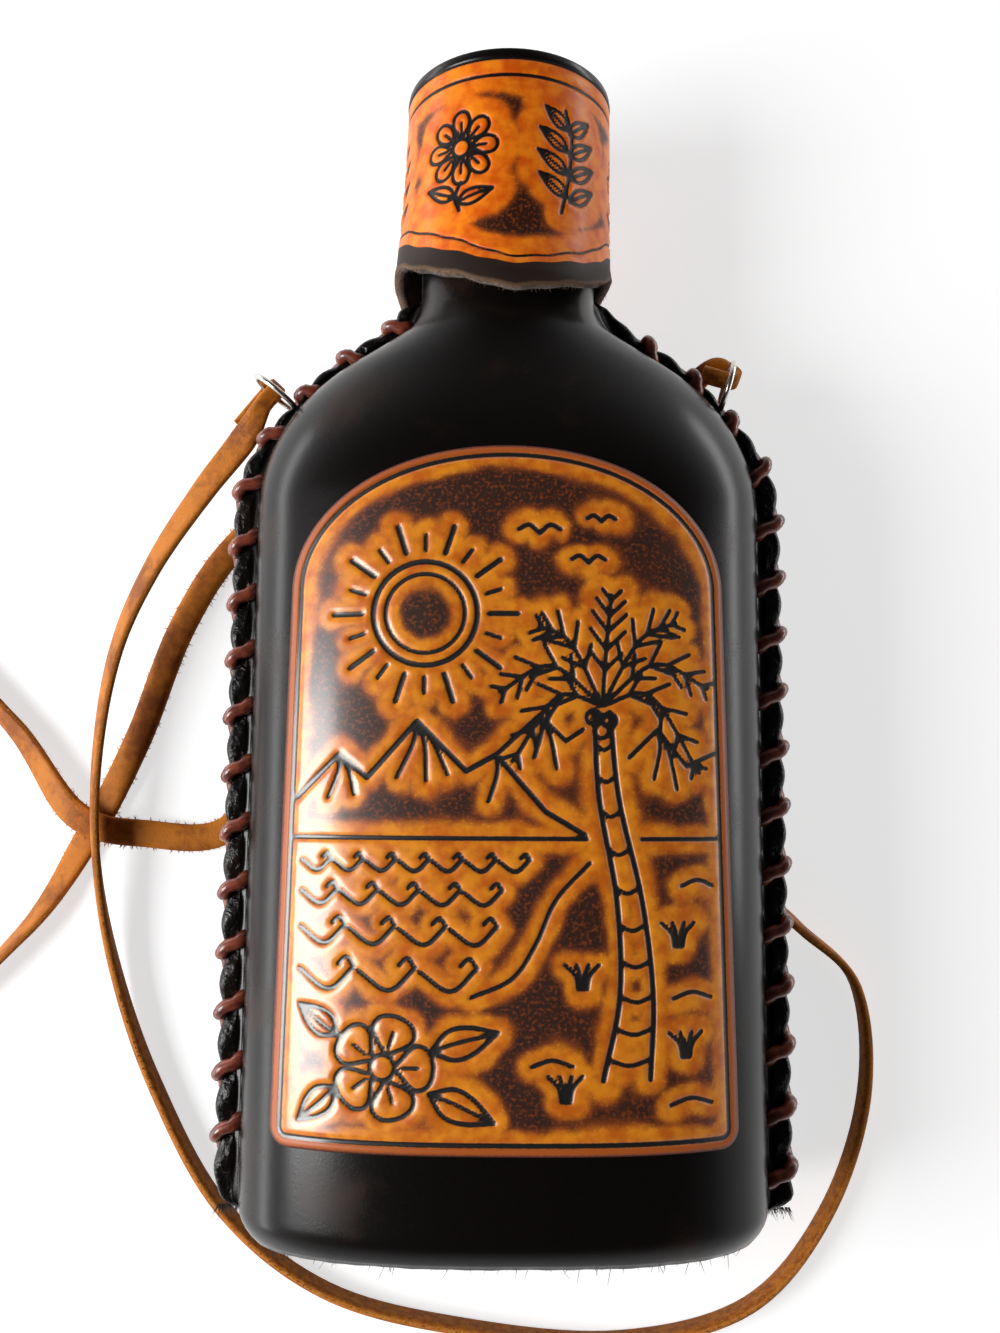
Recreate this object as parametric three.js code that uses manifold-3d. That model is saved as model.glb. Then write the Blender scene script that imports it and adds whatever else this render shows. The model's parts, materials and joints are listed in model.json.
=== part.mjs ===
// Leather-clad pocket flask, lying on its back with its carrying strap loosely around it.
// A glass flask stands in two moulded leather halves whose flanges are whipped together with
// a round lace. A ring through each shoulder of the flange carries the strap, and the screw
// cap is covered with leather too.
// Millimetres. +Z is up, out of the front face, and +Y runs along the flask to the cap.

import * as THREE from "three";
import { mergeVertices } from "three/addons/utils/BufferGeometryUtils.js";
import Module from "manifold-3d";

const wasm = await Module();
wasm.setup();

// Glass flask
const glassWidth = 80;
const glassDepth = 41;
const glassHeight = 184;
const glassWall = 2.8;
const glassFloor = 5;
const glassHeelRadius = 5;
const sectionFullness = 2.7; // exponent of the body's superellipse; 2 is an ellipse
const shoulderRadius = 28;
const shoulderSlope = THREE.MathUtils.degToRad(58); // from upright
const neckFilletRadius = 12.3;
const neckDiameter = 25.6;
const neckLength = 31.6;
const neckBeadDiameter = 28.6;
const neckBeadHeight = 3;
const lipRounding = 0.8;

// Leather cover
const leatherThickness = 2;
const leatherFit = 0.3; // between the glass and its cover
const baseThickness = 2;
const heelTuck = 2.2; // how far the cover draws in at the foot
const heelHeight = 4.5;
const backFlat = 0.6; // pressed flat where the back lies on a table
const neckCoverShortfall = 1.2; // from the cover's top edge up to the neck bead
const panelWidth = 68; // where its arch begins
const panelFootWidth = 71;
const panelFoot = 13.2; // above the glass foot
const panelSideHeight = 84.3;
const panelArchRise = 22.5;
const panelCorner = 3;
const panelRise = 0.7;

// Flange and its lacing
const flangeWidth = 4.7;
const flangeNeckWidth = 3.7;
const flangeThickness = 1.5; // one layer, pressed by the lace
const flangeGap = 0.3; // between the two layers
const flangeFoot = -1; // from the glass foot
const flangeBelowCap = 1.2;
const holeInset = 1.8; // from the cover's side to the middle of a lace hole
const laceDiameter = 1.8;
const laceClearance = 0.2;
const stitchSpacing = 9.9; // nearest that divides the seam evenly is used
const endHole = 4.6; // from either end of the flange to the nearest lace hole
const scallopDepth = 0.7;

// Shoulder rings
const ringRadius = 4.4;
const ringWire = 1;
const ringHoleDiameter = 2.4;
const holesAboveRing = 3;
const rightRingSwing = THREE.MathUtils.degToRad(36);

// Screw cap
const capDiameter = 31.5;
const capHeight = 24;
const capWall = 1.3;
const capTopWall = 1.5;
const linerThickness = 1;
const linerClearance = 0.4;
const sleeveThickness = 2;
const sleeveFit = 0.3;
const sleeveLength = 33.5;
const sleeveFlare = 0.6; // on the radius, at the lower edge
const capTopThickness = 2;
const capTopRounding = 0.8;
const seatGap = 0.2; // between faces that bear on each other

// Strap
const strapWidth = 5;
const strapEndWidth = 3.2; // cut narrower where it goes through a ring
const strapThickness = 1.5;
const strapLead = 3; // straight part that leaves a loop
const leftStrapTail = 8;
const rightStrapTail = 4.5;
const leftLoopDip = THREE.MathUtils.degToRad(60); // place of the loop on its ring, down from level
const rightLoopDip = THREE.MathUtils.degToRad(40);
const strapStepsPerSpan = 2;
const strapBevel = 0.4;

// Middle line of the strap from the left ring to the right one: x, y, z and the lean of its
// width from flat, in degrees. It lies on the table and passes under the neck twice.
const strapRoute = [
  [-47.2, 35.0, 18.2, 5],
  [-54.5, 25.9, 16.6, 22],
  [-63.5, 13.0, 14.0, 42],
  [-70.2, -1.5, 11.6, 55],
  [-73.6, -19.0, 9.2, 64],
  [-73.9, -38.0, 7.2, 71],
  [-70.8, -58.0, 4.0, 83],
  [-63.0, -79.5, 2.6, 90],
  [-50.0, -101.0, 2.6, 90],
  [-31.0, -115.0, 2.6, 90],
  [-6.0, -121.0, 2.6, 90],
  [21.0, -122.8, 2.6, 90],
  [43.5, -117.0, 2.6, 90],
  [57.5, -101.5, 2.6, 90],
  [65.0, -81.0, 2.6, 90],
  [64.0, -61.5, 2.7, 85],
  [54.0, -51.2, 2.7, 78],
  [45.5, -43.0, 2.7, 58],
  [41.0, -27.0, 1.7, 20],
  [39.0, 0.0, 0.9, 0],
  [30.5, 26.5, 0.9, 0],
  [9.5, 39.0, 0.9, 0],
  [-14.0, 40.0, 0.9, 0],
  [-35.0, 33.5, 0.9, 0],
  [-51.7, 19.6, 0.9, 0],
  [-61.5, 3.5, 0.9, 0],
  [-68.9, -17.5, 0.9, 0],
  [-77.5, -36.0, 1.3, 8],
  [-88.5, -53.5, 2.8, 60],
  [-110.0, -71.0, 2.6, 90],
  [-140.0, -67.0, 2.6, 90],
  [-155.0, -39.0, 2.6, 90],
  [-139.0, -8.0, 2.6, 90],
  [-111.0, 0.5, 2.6, 85],
  [-92.0, -15.0, 2.6, 45],
  [-79.0, -31.5, 3.8, 5],
  [-66.0, -35.0, 2.3, 0],
  [-51.5, -34.0, 1.0, 0],
  [-42.5, -18.0, 0.9, 0],
  [-39.5, 6.0, 1.1, 0],
  [-32.5, 30.5, 3.2, 0],
  [-17.0, 46.5, 2.4, 0],
  [2.0, 49.2, 1.3, 0],
  [23.5, 47.2, 6.2, 0],
  [31.0, 45.6, 11.6, 0],
];

// Facets
const bodySides = 28;
const arcSteps = 3;
const capSides = 32;
const laceSides = 6;
const stepsPerStitch = 8;
const edgePointsPerStitch = 4;
const holeSides = 6;
const wireSides = 8;
const ringSteps = 16;

// Derived places along the flask, measured from the foot of the glass
const coverOffset = leatherFit + leatherThickness;
const coverFoot = -baseThickness - seatGap;
const neckStart = glassHeight - neckLength;
const slopeFall = 1 - Math.cos(shoulderSlope);
const slopeRun =
  (glassWidth / 2 - neckDiameter / 2 - (shoulderRadius + neckFilletRadius) * slopeFall) /
  Math.tan(shoulderSlope);
const shoulderStart =
  neckStart - slopeRun - (shoulderRadius + neckFilletRadius) * Math.sin(shoulderSlope);
const linerFoot = glassHeight + seatGap;
const capInsideTop = linerFoot + linerThickness + seatGap;
const capTop = capInsideTop + capTopWall;
const sleeveTop = capTop;
const sleeveFoot = sleeveTop - sleeveLength;
const capTopFoot = capTop + seatGap;
const overallLength = capTopFoot + capTopThickness - coverFoot;
const beadFoot = capTop - capHeight - neckBeadHeight - seatGap;
const neckCoverTop = beadFoot - neckCoverShortfall;
const flangeTop = Math.min(sleeveFoot, neckCoverTop) - flangeBelowCap;
const seamHeight = glassDepth / 2 + coverOffset - backFlat;
const flaskPlace = new THREE.Vector3(0, -coverFoot - overallLength / 2, seamHeight);

// Materials
const glass = new THREE.MeshStandardMaterial({ color: 0xdfe8e4, roughness: 0.05, metalness: 0 });
const blackLeather = new THREE.MeshStandardMaterial({ color: 0x17110f, roughness: 0.42, metalness: 0 });
const amberLeather = new THREE.MeshStandardMaterial({ color: 0xb8651c, roughness: 0.38, metalness: 0 });
const laceLeather = new THREE.MeshStandardMaterial({ color: 0x6b2419, roughness: 0.3, metalness: 0 });
const strapLeather = new THREE.MeshStandardMaterial({ color: 0xa15a1e, roughness: 0.6, metalness: 0 });
const nickel = new THREE.MeshStandardMaterial({ color: 0xc9c7c0, roughness: 0.25, metalness: 1 });
const capPlastic = new THREE.MeshStandardMaterial({ color: 0x1b1b1d, roughness: 0.4, metalness: 0 });
const linerFoam = new THREE.MeshStandardMaterial({ color: 0xe8e4da, roughness: 0.8, metalness: 0 });

// Solids from geometry and back

function solidOf(geometry) {
  geometry.deleteAttribute("normal");
  geometry.deleteAttribute("uv");
  const merged = mergeVertices(geometry, 1e-4);
  const vertProperties = Float32Array.from(merged.attributes.position.array);
  const triVerts = Uint32Array.from(merged.index.array);
  return new wasm.Manifold(new wasm.Mesh({ numProp: 3, vertProperties, triVerts }));
}

function geometryOf(solid) {
  const mesh = solid.getMesh();
  const geometry = new THREE.BufferGeometry();
  geometry.setAttribute("position", new THREE.BufferAttribute(mesh.vertProperties, 3));
  geometry.setIndex(new THREE.BufferAttribute(mesh.triVerts, 1));
  geometry.computeVertexNormals();
  return geometry;
}

function box(low, high) {
  const size = new THREE.Vector3().subVectors(high, low);
  const middle = new THREE.Vector3().addVectors(low, high).multiplyScalar(0.5);
  return new THREE.BoxGeometry(size.x, size.y, size.z).translate(middle.x, middle.y, middle.z);
}

// Skin through rings of points, closed with a fan at each end. The rings run anticlockwise
// as seen against the direction in which they follow each other.
function loft(rings) {
  const sides = rings[0].length;
  const points = rings.flat();
  const faces = [];
  for (let row = 0; row + 1 < rings.length; row += 1) {
    for (let k = 0; k < sides; k += 1) {
      const next = (k + 1) % sides;
      const a = row * sides + k;
      const b = row * sides + next;
      faces.push(a, b, b + sides, a, b + sides, a + sides);
    }
  }
  const last = (rings.length - 1) * sides;
  const footMiddle = points.push(middleOf(rings[0])) - 1;
  const headMiddle = points.push(middleOf(rings.at(-1))) - 1;
  for (let k = 0; k < sides; k += 1) {
    const next = (k + 1) % sides;
    faces.push(footMiddle, next, k);
    faces.push(headMiddle, last + k, last + next);
  }
  const geometry = new THREE.BufferGeometry().setFromPoints(points);
  geometry.setIndex(faces);
  geometry.computeVertexNormals();
  return geometry;
}

function middleOf(ring) {
  const sum = new THREE.Vector3();
  for (const point of ring) {
    sum.add(point);
  }
  return sum.divideScalar(ring.length);
}

// Flask form

// Right-hand outline in the front view at a distance outside the glass: straight side,
// shoulder arc, slope, neck fillet, neck.
function outlinePath(offset, low, high) {
  const side = glassWidth / 2 + offset;
  const path = new THREE.Path();
  path.moveTo(side, low);
  path.lineTo(side, shoulderStart);
  path.absarc(glassWidth / 2 - shoulderRadius, shoulderStart, shoulderRadius + offset, 0, shoulderSlope);
  const filletMiddle = neckDiameter / 2 + neckFilletRadius;
  const filletRadius = neckFilletRadius - offset;
  path.absarc(filletMiddle, neckStart, filletRadius, Math.PI + shoulderSlope, Math.PI, true);
  path.lineTo(neckDiameter / 2 + offset, high);
  return path;
}

// Share of the way from the body's section to the round neck.
function neckShare(y) {
  return THREE.MathUtils.smoothstep(y, shoulderStart, neckStart);
}

function halfDepth(y) {
  return THREE.MathUtils.lerp(glassDepth / 2, neckDiameter / 2, neckShare(y));
}

// Superellipse ring across the flask, listed clockwise as seen from the cap.
function sectionRing(halfWidth, depth, y) {
  const power = 2 / THREE.MathUtils.lerp(sectionFullness, 2, neckShare(y));
  const ring = [];
  for (let k = 0; k < bodySides; k += 1) {
    const turn = (-2 * Math.PI * k) / bodySides;
    const c = Math.cos(turn);
    const s = Math.sin(turn);
    const x = halfWidth * Math.sign(c) * Math.abs(c) ** power;
    const z = depth * Math.sign(s) * Math.abs(s) ** power;
    ring.push(new THREE.Vector3(x, y, z));
  }
  return ring;
}

// Rings over the whole flask at a distance outside the glass; inset draws a ring in.
function formRings(offset, low, high, inset = () => 0) {
  return outlinePath(offset, low, high)
    .getPoints(arcSteps)
    .map((p) => sectionRing(p.x - inset(p.y), halfDepth(p.y) + offset - inset(p.y), p.y));
}

function heelInset(y, foot, radius) {
  const rise = THREE.MathUtils.clamp(radius - (y - foot), 0, radius);
  return radius - Math.sqrt(radius * radius - rise * rise);
}

function roundedHeel(offset, foot, radius) {
  const rings = [];
  for (let k = 0; k < arcSteps; k += 1) {
    const y = foot + radius * (1 - Math.cos((Math.PI / 2) * (k / arcSteps)));
    const inset = heelInset(y, foot, radius);
    rings.push(sectionRing(glassWidth / 2 + offset - inset, glassDepth / 2 + offset - inset, y));
  }
  return rings;
}

// Glass flask: outside from foot to lip, then the inside back down to the floor.
function glassBottle() {
  const neckRadius = neckDiameter / 2;
  const boreRadius = neckRadius - glassWall;
  const beadRadius = neckBeadDiameter / 2;
  const beadEdge = (beadRadius - neckRadius) / 2;
  const rings = roundedHeel(0, 0, glassHeelRadius);
  rings.push(...formRings(0, glassHeelRadius, beadFoot));
  rings.push(sectionRing(beadRadius, beadRadius, beadFoot + beadEdge));
  rings.push(sectionRing(beadRadius, beadRadius, beadFoot + neckBeadHeight - beadEdge));
  rings.push(sectionRing(neckRadius, neckRadius, beadFoot + neckBeadHeight));
  rings.push(sectionRing(neckRadius, neckRadius, glassHeight - lipRounding));
  rings.push(sectionRing(neckRadius - lipRounding, neckRadius - lipRounding, glassHeight));
  rings.push(sectionRing(boreRadius + lipRounding, boreRadius + lipRounding, glassHeight));
  const insideHeel = Math.max(glassHeelRadius - glassWall, lipRounding);
  rings.push(...formRings(-glassWall, glassFloor + insideHeel, glassHeight - lipRounding).reverse());
  rings.push(...roundedHeel(-glassWall, glassFloor, insideHeel).reverse());
  return loft(rings);
}

// Leather cover

function coverInset(y) {
  const share = THREE.MathUtils.clamp(1 - (y - coverFoot) / heelHeight, 0, 1);
  return heelTuck * share * share;
}

function coverForm(offset, low, high) {
  const foot = Math.min(low, coverFoot);
  const heelRings = [];
  for (let k = 0; k < arcSteps; k += 1) {
    const y = coverFoot + (heelHeight * k) / arcSteps;
    const inset = coverInset(y);
    heelRings.push(sectionRing(glassWidth / 2 + offset - inset, glassDepth / 2 + offset - inset, y));
  }
  if (foot < coverFoot) {
    heelRings.unshift(heelRings[0].map((p) => new THREE.Vector3(p.x, foot, p.z)));
  }
  return solidOf(loft([...heelRings, ...formRings(offset, coverFoot + heelHeight, high)]));
}

// Line of the lace holes on the right-hand flange, foot to neck.
const seam = outlinePath(coverOffset + holeInset, flangeFoot, flangeTop);
const seamLength = seam.getLength();
const stitchCount = Math.round((seamLength - 2 * endHole) / stitchSpacing);
const stitchPitch = (seamLength - 2 * endHole) / stitchCount;

// A point of the seam by its distance from the flange's foot, with the way outwards.
function seamPoint(distance) {
  const share = THREE.MathUtils.clamp(distance / seamLength, 0, 1);
  const point = seam.getPointAt(share);
  const along = seam.getTangentAt(share);
  return { point, along, outward: new THREE.Vector2(along.y, -along.x) };
}

// Material outside the hole line, narrower towards the neck and drawn in under each stitch.
function edgeMargin(distance) {
  const y = seamPoint(distance).point.y;
  const width = THREE.MathUtils.lerp(flangeWidth, flangeNeckWidth, neckShare(y));
  const phase = ((distance - endHole) / stitchPitch) * 2 * Math.PI;
  return width - holeInset - (scallopDepth * (1 - Math.cos(phase))) / 2;
}

function flangePlate(low) {
  const count = Math.round((seamLength / stitchPitch) * edgePointsPerStitch);
  const right = [];
  for (let k = 0; k <= count; k += 1) {
    const distance = (seamLength * k) / count;
    const { point, outward } = seamPoint(distance);
    right.push(point.clone().addScaledVector(outward, edgeMargin(distance)));
  }
  const left = right.map((p) => new THREE.Vector2(-p.x, p.y)).reverse();
  const plate = new THREE.ExtrudeGeometry(new THREE.Shape([...right, ...left]), {
    depth: flangeThickness,
    bevelEnabled: false,
  });
  return solidOf(plate.translate(0, 0, low));
}

function punch(x, y, diameter) {
  const reach = flangeThickness + flangeGap;
  const hole = new THREE.CylinderGeometry(diameter / 2, diameter / 2, 2 * reach, holeSides);
  return solidOf(hole.rotateX(Math.PI / 2).translate(x, y, 0));
}

function flangeHoles() {
  const holes = [];
  for (const side of [-1, 1]) {
    for (let k = 0; k <= stitchCount; k += 1) {
      const { point } = seamPoint(endHole + k * stitchPitch);
      holes.push(punch(side * point.x, point.y, laceDiameter + 4 * laceClearance));
    }
    const { point } = seamPoint(ringDistance());
    holes.push(punch(side * point.x, point.y, ringHoleDiameter));
  }
  return holes;
}

// Raised front panel: sides that draw in a little towards a flat arch, with small round lower
// corners.
function frontPanel() {
  const half = panelWidth / 2;
  const cornerX = panelFootWidth / 2 - panelCorner;
  const cornerY = panelFoot + panelCorner;
  const spring = panelFoot + panelSideHeight;
  const shape = new THREE.Shape();
  shape.moveTo(-cornerX, panelFoot);
  shape.lineTo(cornerX, panelFoot);
  shape.absarc(cornerX, cornerY, panelCorner, -Math.PI / 2, 0);
  shape.absellipse(0, spring, half, panelArchRise, 0, Math.PI);
  shape.absarc(-cornerX, cornerY, panelCorner, Math.PI, 1.5 * Math.PI);
  const prism = new THREE.ExtrudeGeometry(shape, {
    depth: glassDepth,
    bevelEnabled: false,
    curveSegments: 2 * arcSteps,
  });
  return solidOf(prism).intersect(coverForm(coverOffset + panelRise, coverFoot, neckCoverTop));
}

// The half of a cover on one side of the seam; the back is pressed flat where it lies.
function halfSpace(low, high) {
  const reach = glassWidth + flangeWidth;
  return solidOf(box(new THREE.Vector3(-reach, -reach, low), new THREE.Vector3(reach, 2 * glassHeight, high)));
}

function leatherHalf(front) {
  const seamFace = flangeGap / 2;
  const plate = flangePlate(front ? seamFace : -seamFace - flangeThickness);
  let cover = coverForm(coverOffset, coverFoot, neckCoverTop);
  if (front) {
    cover = cover.add(frontPanel());
  }
  cover = cover.add(plate).subtract(coverForm(leatherFit, coverFoot - baseThickness, glassHeight));
  cover = cover.intersect(front ? halfSpace(seamFace, glassDepth) : halfSpace(-seamHeight, -seamFace));
  for (const hole of flangeHoles()) {
    cover = cover.subtract(hole);
  }
  return geometryOf(cover);
}

// Base patch: an oval of leather under the glass, inside the foot of the two halves.
function baseLeather() {
  const rings = [coverFoot, coverFoot + baseThickness].map((y) => {
    const inset = coverInset(coverFoot) + leatherFit;
    return sectionRing(glassWidth / 2 + leatherFit - inset, glassDepth / 2 + leatherFit - inset, y);
  });
  return loft(rings);
}

// Whip lacing: up through a hole, slanting over the front to the flange's edge, square round it
// and slanting back underneath to the next hole. It climbs on the right-hand side and descends
// on the left.
function lacePoint(turns, climbing) {
  const stitch = Math.min(Math.floor(turns), stitchCount - 1);
  const share = turns - stitch;
  const overFront = THREE.MathUtils.smoothstep(share, 0.1, 0.5);
  const underBack = THREE.MathUtils.smoothstep(share, 0.5, 0.9);
  const advance = (stitch + (overFront + underBack) / 2) * stitchPitch;
  const distance = climbing ? endHole + advance : seamLength - endHole - advance;
  const middle = seamPoint(distance);
  const reach = edgeMargin(distance) + laceClearance + laceDiameter / 2;
  const height = flangeGap / 2 + flangeThickness + laceClearance + laceDiameter / 2;
  const turn = Math.PI * (1 - 2 * share);
  const c = Math.cos(turn);
  const s = Math.sin(turn);
  const across = (reach / 2) * (1 + Math.sign(c) * Math.sqrt(Math.abs(c)));
  const rise = height * Math.sign(s) * Math.sqrt(Math.abs(s));
  const plan = middle.point.clone().addScaledVector(middle.outward, across);
  const side = climbing ? 1 : -1;
  return {
    place: new THREE.Vector3(side * plan.x, plan.y, rise),
    across: new THREE.Vector3(side * middle.along.x, middle.along.y, 0),
  };
}

function lace(climbing) {
  const section = [];
  for (let k = 0; k < laceSides; k += 1) {
    const turn = (2 * Math.PI * k) / laceSides;
    section.push(new THREE.Vector2(Math.cos(turn), Math.sin(turn)).multiplyScalar(laceDiameter / 2));
  }
  const stations = [];
  for (let k = 0; k <= stitchCount * stepsPerStitch; k += 1) {
    stations.push({ ...lacePoint(k / stepsPerStitch, climbing), section });
  }
  return sweep(stations);
}

// Skin over stations along a line. Each has its place, its section and the way the section's
// first axis leans towards.
function sweep(stations) {
  const rings = stations.map(({ place, across, section }, k) => {
    const before = stations[Math.max(k - 1, 0)].place;
    const after = stations[Math.min(k + 1, stations.length - 1)].place;
    const tangent = new THREE.Vector3().subVectors(after, before).normalize();
    const first = across.clone().projectOnPlane(tangent).normalize();
    const second = new THREE.Vector3().crossVectors(tangent, first);
    return section.map((p) => place.clone().addScaledVector(first, p.x).addScaledVector(second, p.y));
  });
  return loft(rings);
}

// Shoulder rings

function ringDistance() {
  return endHole + (stitchCount - holesAboveRing + 0.5) * stitchPitch;
}

// Middle of a ring whose wire passes through its hole, and the way it lies from there.
function ringPlace(side) {
  const { point, outward } = seamPoint(ringDistance());
  const swing = side > 0 ? rightRingSwing : 0;
  const turned = outward.clone().rotateAround(new THREE.Vector2(), swing);
  const reach = new THREE.Vector3(side * turned.x, turned.y, 0);
  const middle = new THREE.Vector3(side * point.x, point.y, 0).addScaledVector(reach, ringRadius);
  return { middle, reach };
}

function ring(side) {
  const { middle, reach } = ringPlace(side);
  const torus = new THREE.TorusGeometry(ringRadius, ringWire / 2, wireSides, ringSteps);
  torus.rotateX(Math.PI / 2).rotateZ(Math.atan2(reach.y, reach.x));
  return torus.translate(middle.x, middle.y, middle.z);
}

// Screw cap

// Body of revolution about the flask's axis from a profile of radius and place.
function turned(profile) {
  const points = profile.map(([radius, y]) => new THREE.Vector2(radius, y));
  return new THREE.LatheGeometry(points, capSides);
}

function capShell() {
  const outer = capDiameter / 2;
  const inner = outer - capWall;
  const foot = capTop - capHeight;
  return turned([
    [0, capInsideTop],
    [inner, capInsideTop],
    [inner, foot],
    [outer, foot],
    [outer, capTop],
    [0, capTop],
  ]);
}

function capLiner() {
  const radius = capDiameter / 2 - capWall - linerClearance;
  return turned([
    [0, linerFoot],
    [radius, linerFoot],
    [radius, linerFoot + linerThickness],
    [0, linerFoot + linerThickness],
  ]);
}

function capSleeve() {
  const inner = capDiameter / 2 + sleeveFit;
  const outer = inner + sleeveThickness;
  const flareStart = (capTop - capHeight + sleeveFoot) / 2;
  return turned([
    [inner, sleeveTop],
    [inner, flareStart],
    [inner + sleeveFlare, sleeveFoot],
    [outer + sleeveFlare, sleeveFoot],
    [outer, flareStart],
    [outer, sleeveTop],
    [inner, sleeveTop],
  ]);
}

function capTopDisc() {
  const radius = capDiameter / 2 + sleeveFit + sleeveThickness;
  return turned([
    [0, capTopFoot],
    [radius, capTopFoot],
    [radius, capTopFoot + capTopThickness - capTopRounding],
    [radius - capTopRounding, capTopFoot + capTopThickness],
    [0, capTopFoot + capTopThickness],
  ]);
}

// Strap

// Loop of a strap end round the lower outer part of a ring, from the tail's cut end to the run,
// and the way the strap's width lies there. On the left the run leaves inside the ring and its
// tail outside, on the right the other way round.
function strapLoop(side) {
  const { middle, reach } = ringPlace(side);
  const dip = side < 0 ? leftLoopDip : rightLoopDip;
  const up = new THREE.Vector3(0, 0, 1);
  const away = new THREE.Vector3().crossVectors(up, reach);
  const outer = reach.clone().multiplyScalar(Math.cos(dip)).addScaledVector(up, -Math.sin(dip));
  const across = reach.clone().multiplyScalar(Math.sin(dip)).addScaledVector(up, Math.cos(dip));
  const wireInner = Math.sqrt((ringRadius - ringWire / 2) ** 2 - (strapEndWidth / 2) ** 2);
  const wireOuter = ringRadius + ringWire / 2;
  const bend = (wireOuter - wireInner + strapThickness + seatGap) / 2;
  const wire = middle.clone().add(flaskPlace).addScaledVector(outer, (wireInner + wireOuter) / 2);
  const place = (along, height) =>
    wire.clone().addScaledVector(away, along).addScaledVector(outer, side * height);
  const places = [place(side < 0 ? leftStrapTail : rightStrapTail, -bend)];
  const bendSteps = 4;
  for (let k = 0; k <= bendSteps; k += 1) {
    const turn = -Math.PI / 2 - (Math.PI * k) / bendSteps;
    places.push(place(bend * Math.cos(turn), bend * Math.sin(turn)));
  }
  places.push(place(strapLead, bend));
  return { places, across: across.multiplyScalar(-side) };
}

function strapSection(width) {
  const half = width / 2;
  const thick = strapThickness / 2;
  return [
    [half, strapBevel - thick],
    [half, thick - strapBevel],
    [half - strapBevel, thick],
    [strapBevel - half, thick],
    [-half, thick - strapBevel],
    [-half, strapBevel - thick],
    [strapBevel - half, -thick],
    [half - strapBevel, -thick],
  ].map(([x, y]) => new THREE.Vector2(x, y));
}

function shoulderStrap() {
  const left = strapLoop(-1);
  const right = strapLoop(1);
  const run = strapRoute.map(([x, y, z]) => new THREE.Vector3(x, y, z));
  const points = [...left.places, ...run, ...right.places.reverse()];
  const curve = new THREE.CatmullRomCurve3(points, false, "catmullrom", 0.5);
  const spans = points.length - 1;
  const up = new THREE.Vector3(0, 0, 1);
  const runAcross = strapRoute.map(([, , , lean], k) => {
    const tangent = curve.getTangent((left.places.length + k) / spans);
    const level = new THREE.Vector3().crossVectors(tangent, up).normalize();
    return level.applyAxisAngle(tangent, THREE.MathUtils.degToRad(lean));
  });
  const across = [...left.places.map(() => left.across), ...runAcross, ...right.places.map(() => right.across)];
  const widths = [
    ...left.places.map(() => strapEndWidth),
    ...run.map(() => strapWidth),
    ...right.places.map(() => strapEndWidth),
  ];
  const stations = [];
  for (let k = 0; k <= spans * strapStepsPerSpan; k += 1) {
    const span = Math.min(Math.floor(k / strapStepsPerSpan), spans - 1);
    const share = k / strapStepsPerSpan - span;
    stations.push({
      place: curve.getPoint(k / (spans * strapStepsPerSpan)),
      across: across[span].clone().lerp(across[span + 1], share),
      section: strapSection(THREE.MathUtils.lerp(widths[span], widths[span + 1], share)),
    });
  }
  return sweep(stations);
}

// Assembly

function piece(name, geometry, material) {
  const mesh = new THREE.Mesh(geometry, material);
  mesh.name = name;
  return mesh;
}

const flask = new THREE.Group();
flask.position.copy(flaskPlace);
flask.add(
  piece("glass_bottle", glassBottle(), glass),
  piece("front_leather", leatherHalf(true), blackLeather),
  piece("back_leather", leatherHalf(false), blackLeather),
  piece("base_leather", baseLeather(), blackLeather),
  piece("lace_left", lace(false), laceLeather),
  piece("lace_right", lace(true), laceLeather),
  piece("ring_left", ring(-1), nickel),
  piece("ring_right", ring(1), nickel),
  piece("cap_shell", capShell(), capPlastic),
  piece("cap_liner", capLiner(), linerFoam),
  piece("cap_sleeve", capSleeve(), amberLeather),
  piece("cap_top", capTopDisc(), blackLeather),
);

const assembly = new THREE.Group();
assembly.add(flask, piece("shoulder_strap", shoulderStrap(), strapLeather));

export default assembly;
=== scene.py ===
"""Leather-wrapped pocket flask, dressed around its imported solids.

The flask lies on its back on a white table. Two moulded leather halves are whipped together
round a glass bottle, the front carries a tooled amber panel, the screw cap wears a tooled
sleeve, and a thin strap runs loosely from ring to ring. Sizes are in metres, except that the
tooled drawings are set out in millimetres on the flat leather.
"""

import json
import logging
import math
import random
from collections.abc import Sequence
from dataclasses import dataclass, field
from enum import Enum
from functools import cache
from typing import Any

import bmesh
import bpy
import numpy as np
from mathutils import Matrix, Vector


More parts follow.
